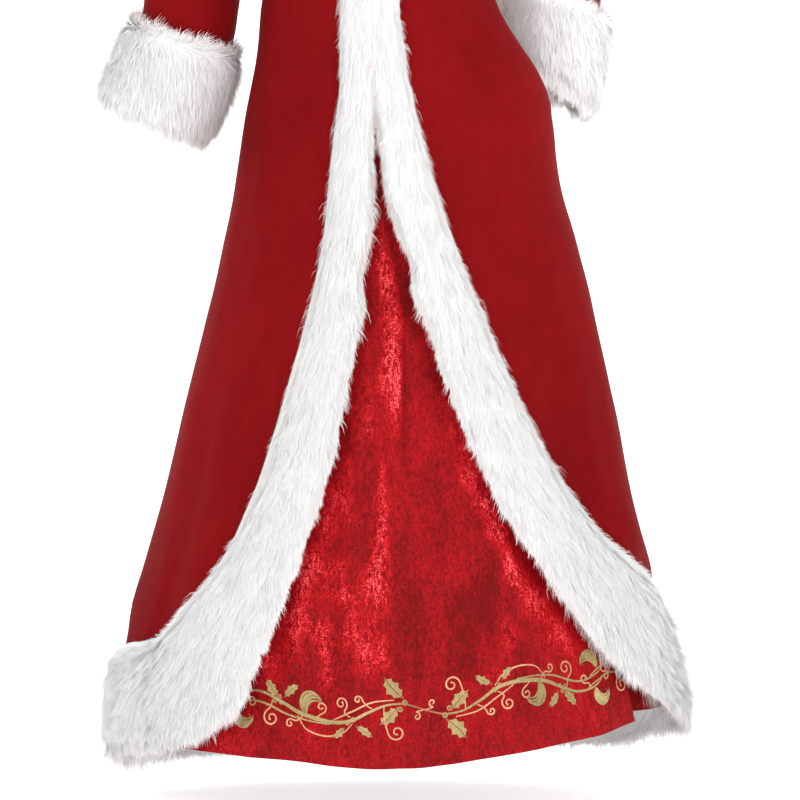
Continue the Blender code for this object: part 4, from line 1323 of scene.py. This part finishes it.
def hair_look():
    """White hair: painted shade greys it towards the root, painted red bounce light tints it by the
    cloth, and it is uneven from lock to lock.
    """
    sheen = {"Sheen_Weight": 0.25, "Sheen_Roughness": 0.5}
    look = Look("white_fur_hair", Roughness=0.72, Specular_IOR_Level=0.25, **sheen)
    # Painted shade: the hair is darker towards its root, where the other hairs shade it, and
    # lighter at its tip.
    level = look.number("tone") * 0.60 + look.number("toward_tip") * 0.26
    level = (level + look.noise(26.0, 3.0) * 0.30).clamped()
    stops = (
        (0.10, (0.610, 0.610, 0.614)),
        (0.50, (0.795, 0.795, 0.793)),
        (0.90, (0.895, 0.894, 0.888)),
    )
    # Painted light: the red bounce tints the hair pink by the cloth.
    red_bounce_tinted = look.tree.nodes.new("ShaderNodeMixRGB")
    red_bounce_tinted.blend_type = "MULTIPLY"
    red_bounce_tinted.inputs["Color2"].default_value = (0.97, 0.66, 0.65, 1.0)
    look.tree.links.new(look.number("painted_red_bounce").socket, red_bounce_tinted.inputs["Fac"])
    look.tree.links.new(look.ramp(level, stops), red_bounce_tinted.inputs["Color1"])
    look.paint(red_bounce_tinted.outputs["Color"])
    return look.made


def ground_look():
    """The dense undercoat below the hairs."""
    look = Look("white_fur_ground", Roughness=0.95, Specular_IOR_Level=0.10)
    spots = look.noise(420.0, 3.0, 0.5)
    look.paint(look.ramp(spots, ((0.30, (0.80, 0.80, 0.80)), (0.70, (0.90, 0.90, 0.895)))))
    look.emboss(spots, 0.8, 0.0015)
    return look.made


def woven_look(name, dark, light, roughness):
    """A plain woven cloth, for facings and the backs of the other cloths."""
    look = Look(name, Roughness=roughness, Specular_IOR_Level=0.3)
    threads = look.noise(1400.0, 2.0, 0.35)
    crossed = look.noise(1400.0, 2.0, 1.0, across=0.35)
    tone = threads * 0.3 + crossed * 0.3 + look.noise(9.0, 3.0) * 0.4
    look.paint(look.ramp(tone, ((0.32, dark), (0.68, light))))
    look.emboss(threads + crossed, 0.4, 0.0003)
    return look.made


def gold_look(name, dark, mid, light):
    """Metallic gold print, worn a little thin."""
    look = Look(name, Metallic=0.25, Roughness=0.48)
    worn = look.noise(260.0, 4.0)
    tone = worn * 0.55 + look.noise(18.0, 2.0) * 0.45
    look.paint(look.ramp(tone, ((0.30, dark), (0.52, mid), (0.72, light))))
    look.emboss(worn, 0.35, 0.0003)
    return look.made


velour = velour_look()
velvet = velvet_look()
fur = hair_look()
ground = ground_look()
gold = gold_look(
    "gold_print", (0.205, 0.150, 0.052), (0.335, 0.255, 0.092), (0.530, 0.390, 0.175)
)
pale_gold = gold_look(
    "pale_gold_print", (0.360, 0.140, 0.062), (0.580, 0.275, 0.135), (0.780, 0.430, 0.235)
)
velour_back = woven_look("red_velour_reverse", (0.150, 0.008, 0.012), (0.260, 0.014, 0.020), 0.9)
velvet_back = woven_look("red_velvet_reverse", (0.170, 0.008, 0.013), (0.300, 0.014, 0.022), 0.9)
thread = woven_look("red_thread", (0.090, 0.002, 0.004), (0.180, 0.004, 0.007), 0.6)
facing = woven_look("cream_facing", (0.600, 0.575, 0.530), (0.780, 0.760, 0.720), 0.75)

# The cloth pieces

SIDES = (
    ("left", 1, LEFT_BAND, LEFT_CORNER_ROW, LEFT_SLEEVE),
    ("right", -1, RIGHT_BAND, RIGHT_CORNER_ROW, RIGHT_SLEEVE),
)


def robe_pieces():
    """The two fronts and the two halves of the back."""
    for side_name, side, band, corner_row, _ in SIDES:
        grids = (("front", front_grid(side, band, corner_row)), ("back", back_grid(side, band)))
        for part, grid in grids:
            node = part + "_" + side_name
            look = (velour, velour_back)
            piece = cloth_shell("robe_" + node, robe_face, robe_relief, grid, ROBE_CLOTH, *look)
            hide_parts(node)
            points = robe_face(grid[..., 0], grid[..., 1])
            declare_cloth(piece, points)


ELBOW = 0.50  # its share of the sleeve's length


def sleeve_relief(side, along, around):
    """Wrinkles across the sleeve at its bend, and soft unevenness elsewhere."""
    bend = np.exp(-(((along - ELBOW) / 0.20) ** 2))
    wave = grain(along / 0.045 + 0.9 * np.sin(around + 0.6), np.cos(around) * 1.7 + 3 * side, 21)
    soft = grain(along / 0.110, np.cos(around + 1.0) * 2.2 + 5 * side, 22)
    free = ramp(along, 0.03, 0.15) * (1 - ramp(along, 0.76, 0.83))
    return (0.0040 * wave * (0.35 + 0.65 * bend) + 0.0022 * soft) * free


def sleeve_pieces():
    """Both sleeves."""
    along, around = crossed(np.linspace(0.0, 1.0, 91), np.linspace(0.0, FULL_TURN, 61))
    for side_name, side, *_, table in SIDES:
        raised = sleeve_relief(side, along, around)
        outer = sleeve_points(side, table, along, around, out=raised)
        inner = sleeve_points(side, table, along, around, out=raised - ROBE_CLOTH)
        piece = shell("sleeve_cloth_" + side_name, outer, inner, velour, velour_back, tube=True)
        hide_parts("sleeve_" + side_name)
        declare_cloth(piece, outer)


# The seam allowances inside the dress
STRIP_CLOTH = 0.0008
STRIP_GAP = 0.0006  # room to the cloth
STRIP_HALF = 0.012  # half width
SEAM_SIDE_TOP = ARMHOLE_BASE_Z - 0.010
SEAMS = (
    # name, angle, lowest and highest z, the robe's size there, sewn to
    ("back", BACK_ANGLE, -1.34, NECK_BACK_Z - 0.004, "half_width", ["back_left", "back_right"]),
    ("side_left", SIDE_ANGLE, -1.20, SEAM_SIDE_TOP, "half_depth", ["front_left", "back_left"]),
    ("side_right", -SIDE_ANGLE, -1.14, SEAM_SIDE_TOP, "half_depth", ["front_right", "back_right"]),
)
# Shares of a sleeve's length across its armhole's strip; those below zero lie within the bodice
ARMHOLE_STRIP = (-0.013, -0.006, 0.0, 0.012, 0.024)
ARMHOLE_DROP = 0.0025  # how much deeper the strip's inner edge lies


def inner_strip(name, outside):
    """A thin strip of cloth inside the dress, from a grid of points on its outer side."""
    along = np.gradient(outside, axis=0)
    across = np.gradient(outside, axis=1)
    outward = unit(np.cross(along, across))
    middle = np.array([0.0, 0.03, 0.0])
    turned = np.sign((outward * (outside - middle) * np.array([1.0, 1.0, 0.0])).sum(-1))[..., None]
    inside = outside - outward * turned * STRIP_CLOTH
    made = shell(name, outside, inside, velour, velour_back)
    declare_cloth(made, outside)


def seam_strips():
    """The pressed seam allowances behind the long seams, and round the armholes."""
    across = np.linspace(-1.0, 1.0, 5)[None]
    for name, angle, low, high, size, sewn_to in SEAMS:
        z = np.linspace(low, high, 160)[:, None]
        wide = STRIP_HALF * (1 + 0.10 * np.sin(z * 31 + across))
        turn, z = np.broadcast_arrays(angle + across * wide / robe_size(size, z), z)
        behind = robe_relief(turn, z) - ROBE_CLOTH - STRIP_GAP
        inner_strip("seam_" + name, moved_out(robe_face, turn, z, behind))
    around, along = crossed(np.linspace(0.0, FULL_TURN, 97), np.array(ARMHOLE_STRIP))
    under = ROBE_CLOTH + STRIP_GAP - ARMHOLE_DROP * (along < -0.01)
    for side_name, side, *_, table in SIDES:
        reached = sleeve_points(side, table, np.abs(along), around, out=-under)
        start = sleeve_points(side, table, 0 * along, around, out=-ROBE_CLOTH - STRIP_GAP)
        points = np.where((along < 0)[..., None], 2 * start - reached, reached)
        inner_strip("seam_armhole_" + side_name, points)


def hem_level(angle):
    """How high the front skirt's hem is."""
    return smooth(UNDERSKIRT_HEM, ("angle", "z"), "z", np.degrees(angle))


def underskirt_piece():
    """The front skirt, and where its colour has painted sheen and painted shade."""
    angles = np.linspace(-SIDE_ANGLE, SIDE_ANGLE, 131)
    hem_z = hem_level(angles)
    z = hem_z + (SKIRT_TOP_Z - hem_z) * np.linspace(0.0, 1.0, 111)[:, None]
    grid = np.stack(np.broadcast_arrays(angles[None], z), -1)
    made_of = (SKIRT_CLOTH, velvet, velvet_back)
    piece = cloth_shell("front_skirt", underskirt_face, underskirt_relief, grid, *made_of)
    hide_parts("underskirt")
    points = underskirt_face(grid[..., 0], grid[..., 1])
    declare_cloth(piece, points)
    # Painted sheen and painted shade: where the colour is brightened or darkened, less so near the
    # hem.
    sheen_and_shade = np.clip(along_lines(SHEEN_AND_SHADE_STREAKS, points[..., 0], points[..., 2]).ravel(), -1.0, 1.0)
    zone = 1 - ramp((z - hem_z).ravel(), 0.05, 0.12)
    number_on(piece, "painted_sheen_and_shade", np.tile(sheen_and_shade * (1 - 0.6 * zone), 2))
    number_on(piece, "hem_zone", np.tile(zone, 2))


# The printed border: scrolls, holly leaves and berries, drawn in units along and above the hem

PRINT_UNIT = 0.00128
PRINT_X = -0.0630  # where the border's first trough lies
PRINT_LEVEL = 0.075  # how far above the hem the run along the border is measured
PRINT_ENDS = math.radians(87)  # nothing is printed nearer to the side seams
HALF_REPEAT = 195.0
MIDDLE_HEIGHT = 57.0
PRINT_RAISED = 0.0004
STITCH_STEP = 3.4
STITCH_LENGTH = 2.5
STITCH_HEIGHT = 8.6
STEM_LINES = (
    # points (along, above), width at the start, in the middle and at the end
    (
        ((-104, 60), (-91, 66), (-72, 66), (-50, 57), (-30, 48))
        + ((0, 43.5), (22, 46.5), (40, 56), (58, 63), (77, 64)),
        *(1.0, 4.2, 1.4),
    ),
    (((-108, 49), (-96, 54), (-82, 57), (-66, 54), (-46, 46), (-24, 42), (0, 41)), 0.9, 2.2, 1.0),
    (((-34, 46), (-24, 33), (-4, 29), (14, 34), (24, 44)), 1.0, 1.7, 1.0),
    (((4, 46), (24, 56), (44, 66), (66, 68)), 1.0, 1.8, 1.1),
    (((70, 65), (84, 62), (97.5, 57), (111, 52), (125, 49)), 1.4, 1.7, 1.4),
)
CURLS = (
    # leaves the stem at (along, above), centre, outer radius, angle where it joins, turns
    (-62, 58, -62, 41, 9.0, 120, 1.35),
    (-28, 47, -42, 37, 5.0, 60, 1.10),
    (-14, 46, -9, 57, 6.0, -60, 1.15),
    (22, 50, 12, 63, 7.5, -50, 1.35),
    (44, 60, 30, 68, 4.4, 20, 1.10),
    (56, 62, 68, 36, 8.5, 200, 1.25),
    (97, 57, 89, 51, 4.2, 80, -1.05),
    (-90, 66, -84, 55, 5.2, 100, -1.05),
)
LEAVES = (
    # base (along, above), tip (along, above), width
    (-55, 62, -69, 80, 11.0),
    (-49, 62, -33, 76, 10.0),
    (16, 40, 4, 28, 8.5),
    (27, 42, 44, 31, 9.0),
    (76, 69, 57, 91, 17.0),
    (70, 61, 51, 44, 15.0),
)
BERRIES = (
    # along, above, radius
    (-59, 58.5, 2.5),
    (-54, 62.5, 2.3),
    (-52, 57.0, 2.3),
    (19, 44.5, 2.5),
    (25, 48.0, 2.5),
    (77, 65.0, 2.8),
    (72, 58.5, 2.6),
)
PLUMES = (
    # base (along, above), direction, size, sense of its bend
    (-25, 47, 118, 24.0, -1),
    (-100, 48, 262, 21.0, 1),
)
PLUME_BLADES = (
    # turn, length, width, bend
    (0, 1.00, 3.4, 3.7),
    (10, 0.80, 3.2, 3.0),
    (22, 0.62, 2.8, 2.3),
    (-14, 1.20, 2.0, 4.6),
)


def through(points, count):
    """Evenly spaced points on a smooth line through some points."""
    points = np.array(points, float)
    padded = np.concatenate([[2 * points[0] - points[1]], points, [2 * points[-1] - points[-2]]])
    at = np.linspace(0.0, len(points) - 1.0, count)
    i = np.minimum(at.astype(int), len(points) - 2)
    s = (at - i)[:, None]
    a, b, c, d = (padded[i + k] for k in range(4))
    return b + 0.5 * s * (c - a + s * (2 * a - 5 * b + 4 * c - d + s * (3 * (b - c) + d - a)))


def stroke(points, widths):
    """A flat ribbon along a line: its left and right edges."""
    slope = np.gradient(points, axis=0)
    slope = slope / np.maximum(np.hypot(*slope.T), 0.001)[:, None]
    side = np.stack([-slope[:, 1], slope[:, 0]], -1) * np.asarray(widths)[:, None] / 2
    return points + side, points - side


def curl(start_u, start_v, centre_u, centre_v, radius, joins, turns):
    """A line that leaves the stem and winds into a small spiral with a round end."""
    way = math.copysign(1.0, turns)
    angle = math.radians(joins) + np.linspace(0.0, FULL_TURN * turns, 40)
    size = radius * (1 - 0.80 * np.linspace(0.0, 1.0, 40) ** 0.8)
    spiral = np.stack([centre_u + size * np.cos(angle), centre_v + size * np.sin(angle)], -1)
    first = spiral[0]
    start = np.array([start_u, start_v])
    span = np.hypot(*(first - start))
    heading = way * np.array([-math.sin(angle[0]), math.cos(angle[0])])
    s = np.linspace(0.0, 1.0, 16, endpoint=False)[:, None]
    held = first - heading * span * 0.55
    lead = (1 - s) ** 2 * start + 2 * s * (1 - s) * held + s * s * first
    line = np.concatenate([lead, spiral])
    widths = 1.05 + 0.65 * np.sin(np.linspace(0.0, math.pi, len(line)))
    widths[-5:] = (1.5, 2.1, 2.5, 2.2, 1.0)
    return stroke(line, widths)


def holly_leaf(base_u, base_v, tip_u, tip_v, width):
    """The two halves of a spined leaf, with a thin gap along its midrib."""
    base = np.array([base_u, base_v], float)
    axis = np.array([tip_u, tip_v]) - base
    side = np.array([-axis[1], axis[0]]) / np.hypot(*axis)
    at = np.linspace(0.0, 1.0, 49)
    spines = np.array([0.0, 0.24, 0.52, 0.80, 1.0])
    reach = np.array([0.10, 0.72, 1.0, 0.66, 0.0])
    i = np.clip(np.searchsorted(spines, at, side="right") - 1, 0, 3)
    s = (at - spines[i]) / (spines[i + 1] - spines[i])
    out = reach[i] * (1 - s) + reach[i + 1] * s - 0.26 * np.sin(math.pi * s)
    out = np.maximum(out, 0.03) * width / 2
    rib = 0.022 * width * np.where(at < 0.86, 1.0, 0.0)
    line = base + at[:, None] * axis
    bow = 0.05 * np.sin(math.pi * at)[:, None] * np.hypot(*axis) * side
    halves = []
    for way in (1, -1):
        inner = line + bow + way * rib[:, None] * side
        outer = line + bow + way * np.maximum(out, rib)[:, None] * side
        halves.append((inner, outer))
    return halves


def berry(along, above, radius):
    """A ring with a small dot in it."""
    turn = np.linspace(0.0, FULL_TURN, 21)
    way = np.stack([np.cos(turn), np.sin(turn)], -1)
    middle = np.array([along, above])
    ring = (middle + way * radius, middle + way * radius * 0.55)
    return [ring, (middle + way * radius * 0.25, middle + way * 0.01)]


def plume(base_u, base_v, direction, size, sense):
    """A leaf of curling blades, one inside the other, that part towards their tips."""
    blades = []
    for turn, share, width, bend in PLUME_BLADES:
        at = np.linspace(0.0, 1.0, 40)
        heading = np.radians(direction + sense * turn) + sense * bend * at**1.4
        step = size * share * 1.75 / 39
        line = np.cumsum(np.stack([np.cos(heading), np.sin(heading)], -1) * step, 0)
        widths = width * np.sin(math.pi * at**0.62) + 0.7 * (1 - at)
        blades.append(stroke(np.array([base_u, base_v]) + line, widths))
    return blades


def border_shapes():
    """All ribbons of one full repeat: a trough, and the same turned half round for the crest."""
    shapes = []
    fine = [curl(*values) for values in CURLS]
    for points, start, middle, end in STEM_LINES:
        line = through(points, 56)
        at = np.linspace(0.0, 1.0, 56)
        widths = np.interp(at, (0.0, 0.5, 1.0), (start, middle, end))
        (shapes if middle > 2.0 else fine).append(stroke(line, widths))
    for values in LEAVES:
        shapes += holly_leaf(*values)
    for values in BERRIES:
        shapes += berry(*values)
    for values in PLUMES:
        shapes += plume(*values)
    centre = np.array([HALF_REPEAT / 2, MIDDLE_HEIGHT])
    both = (shapes, fine)
    return [some + [(2 * centre - one, 2 * centre - two) for one, two in some] for some in both]


def on_front_skirt(along, above, raised):
    """Points on the front skirt's face, by distance along the border and height above the hem."""
    angles = np.linspace(-SIDE_ANGLE, SIDE_ANGLE, 721)
    line = underskirt_face(angles, hem_level(angles) + PRINT_LEVEL)
    run = distances(line)
    run = run - np.interp(PRINT_X, line[:, 0], run)
    angle = np.interp(along, run, angles)
    face = with_relief(underskirt_face, underskirt_relief)
    return moved_out(face, angle, hem_level(angle) + above, raised), np.abs(angle) < PRINT_ENDS


def flat_shapes(name, shapes, look):
    """One thin mesh of flat ribbons that lie on the front skirt."""
    both = np.concatenate([np.stack([one, two], 1) for one, two in shapes]) * PRINT_UNIT
    points, kept = on_front_skirt(both[..., 0].ravel(), both[..., 1].ravel(), PRINT_RAISED)
    kept = kept.reshape(-1, 2).all(1)
    ends = np.cumsum([len(one) for one, two in shapes])
    place = np.arange(2 * len(both)).reshape(-1, 2)
    quads = np.stack([place[:-1, 0], place[:-1, 1], place[1:, 1], place[1:, 0]], -1)
    joined = kept[:-1] & kept[1:]
    joined[ends[:-1] - 1] = False
    quads = quads[joined]
    corner = points[quads]
    facing = np.cross(corner[:, 1] - corner[:, 0], corner[:, 2] - corner[:, 0])
    outward = corner.mean(1) * np.array([1.0, 1.0, 0.0])
    turned = (facing * outward).sum(-1) < 0
    quads[turned] = quads[turned, ::-1]
    made = make_mesh(name, points, quads, None, (look,))
    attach(made, "root")
    made.parent = bpy.data.objects["front_skirt"]


def border_print():
    """The border in two inks: leaves and thick stems, and the thin lines."""
    inks = (("gold_border", gold), ("gold_border_lines", pale_gold))
    for (name, look), some in zip(inks, border_shapes()):
        shapes = []
        for repeat in (-2, -1, 0, 1):
            moved = np.array([repeat * 2 * HALF_REPEAT, 0.0])
            shapes += [(one + moved, two + moved) for one, two in some]
        flat_shapes(name, shapes, look)


def hem_stitches():
    """A row of stitches that holds up the front skirt's hem."""
    at = np.linspace(0.0, STITCH_LENGTH, 5)
    widths = 0.55 * np.sin(math.pi * (0.12 + 0.76 * at / STITCH_LENGTH))
    shapes = []
    for i in range(-150, 151):
        line = np.stack([i * STITCH_STEP + at, np.full(5, STITCH_HEIGHT)], -1)
        shapes.append(stroke(line, widths))
    flat_shapes("hem_stitches", shapes, thread)


robe_pieces()
seam_strips()
sleeve_pieces()
underskirt_piece()
border_print()
hem_stitches()
for seed, (hand, side, band, corner_row, table) in enumerate(SIDES):
    rows = (0.0, corner_row)
    band_fur("front", hand, band, rows, FRONT_HAIRS, FRONT_REACH, 30 + seed)
    rows = (corner_row, LAST_BAND_ROW)
    band_fur("hem", hand, band, rows, HEM_HAIRS, HEM_REACH, 40 + seed)
    cuff_fur(hand, side, table, 50 + seed)

# Floor, light and camera

FLOOR_PROFILE = (
    # distance from the middle, height
    (0.001, 0.0),
    (3.0, 0.0),
    (18.0, 0.0),
    (22.0, 0.4),
    (25.0, 1.8),
    (26.5, 4.5),
    (27.0, 16.0),
)
FLOOR_COLUMNS = 96
FLOOR_GAP = 0.003  # room below the hem
LIGHTS = (
    # name, place, aimed at, width and height, watts, spread in degrees
    ("key", (-2.6, -5.2, 1.2), (0.0, 0.0, -0.55), (2.2, 2.6), 50, 180),
    ("front", (0.7, -6.6, -0.3), (0.0, 0.0, -0.6), (3.0, 1.2), 20, 180),
    ("low", (0.3, -6.0, -1.40), (0.0, 0.0, -1.2), (3.0, 0.3), 10, 180),
    ("fill", (3.6, -4.6, -0.1), (0.2, 0.0, -0.4), (2.4, 2.0), 46, 180),
    ("by_cuff", (1.25, -1.70, -0.30), (0.34, -0.05, -0.43), (0.5, 0.5), 0.55, 34),
    ("back_left", (-3.6, 4.6, 1.4), (0.0, 0.0, -0.7), (2.4, 2.4), 66, 180),
    ("back_right", (3.6, 4.6, 1.4), (0.0, 0.0, -0.7), (2.4, 2.4), 66, 180),
)
SKY = 0.70  # strength of the light from all round
CAMERA_PLACE = (0.027, -6.5, -0.989)  # level, and straight in front
PICTURE_WIDTH = 1.064  # metres across the picture, at the dress's axis

def stage_bowl():
    """A pale floor that rises all round in a soft curve."""
    turn = np.linspace(0.0, FULL_TURN, FLOOR_COLUMNS, endpoint=False)
    floor_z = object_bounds()[0][2] - FLOOR_GAP
    points = []
    for radius, height in FLOOR_PROFILE:
        level = np.full(FLOOR_COLUMNS, floor_z + height)
        points.append(np.stack([radius * np.cos(turn), radius * np.sin(turn), level], -1))
    quads = quads_of(len(FLOOR_PROFILE), FLOOR_COLUMNS, 0, True)[:, ::-1]
    glow = {"Emission_Color": (1.0, 1.0, 1.0, 1.0), "Emission_Strength": 0.70}
    look = Look("pale_floor", Roughness=0.9, **glow)
    stops = ((0.3, (0.70, 0.70, 0.70)), (0.7, (0.74, 0.74, 0.74)))
    look.paint(look.ramp(look.noise(3.0, 2.0), stops))
    floor = make_mesh("floor", np.concatenate(points), quads, None, (look.made,))


def area_light(name, place, target, size, power, spread):
    """A rectangular light at a place, aimed at a target."""
    light = bpy.data.lights.new(name, "AREA")
    light.shape = "RECTANGLE"
    light.size, light.size_y = size
    light.energy = power
    light.spread = math.radians(spread)
    made = bpy.data.objects.new(name, light)
    bpy.context.scene.collection.objects.link(made)
    made.location = place
    toward = Vector(target) - Vector(place)
    made.rotation_euler = toward.to_track_quat("-Z", "Y").to_euler()


stage_bowl()
for values in LIGHTS:
    area_light(*values)

world = bpy.data.worlds.new("studio")
world.use_nodes = True
world.node_tree.nodes["Background"].inputs["Color"].default_value = (1.0, 1.0, 1.0, 1.0)
world.node_tree.nodes["Background"].inputs["Strength"].default_value = SKY
bpy.context.scene.world = world
bpy.context.scene.view_settings.view_transform = "Standard"

lens = bpy.data.cameras.new("photo_view")
lens.sensor_width = 36.0
lens.lens = lens.sensor_width * -CAMERA_PLACE[1] / PICTURE_WIDTH
lens.clip_end = 100.0
camera = bpy.data.objects.new("photo_view", lens)
camera.location = CAMERA_PLACE
camera.rotation_euler = (math.radians(90.0), 0.0, 0.0)
bpy.context.scene.collection.objects.link(camera)
bpy.context.scene.camera = camera
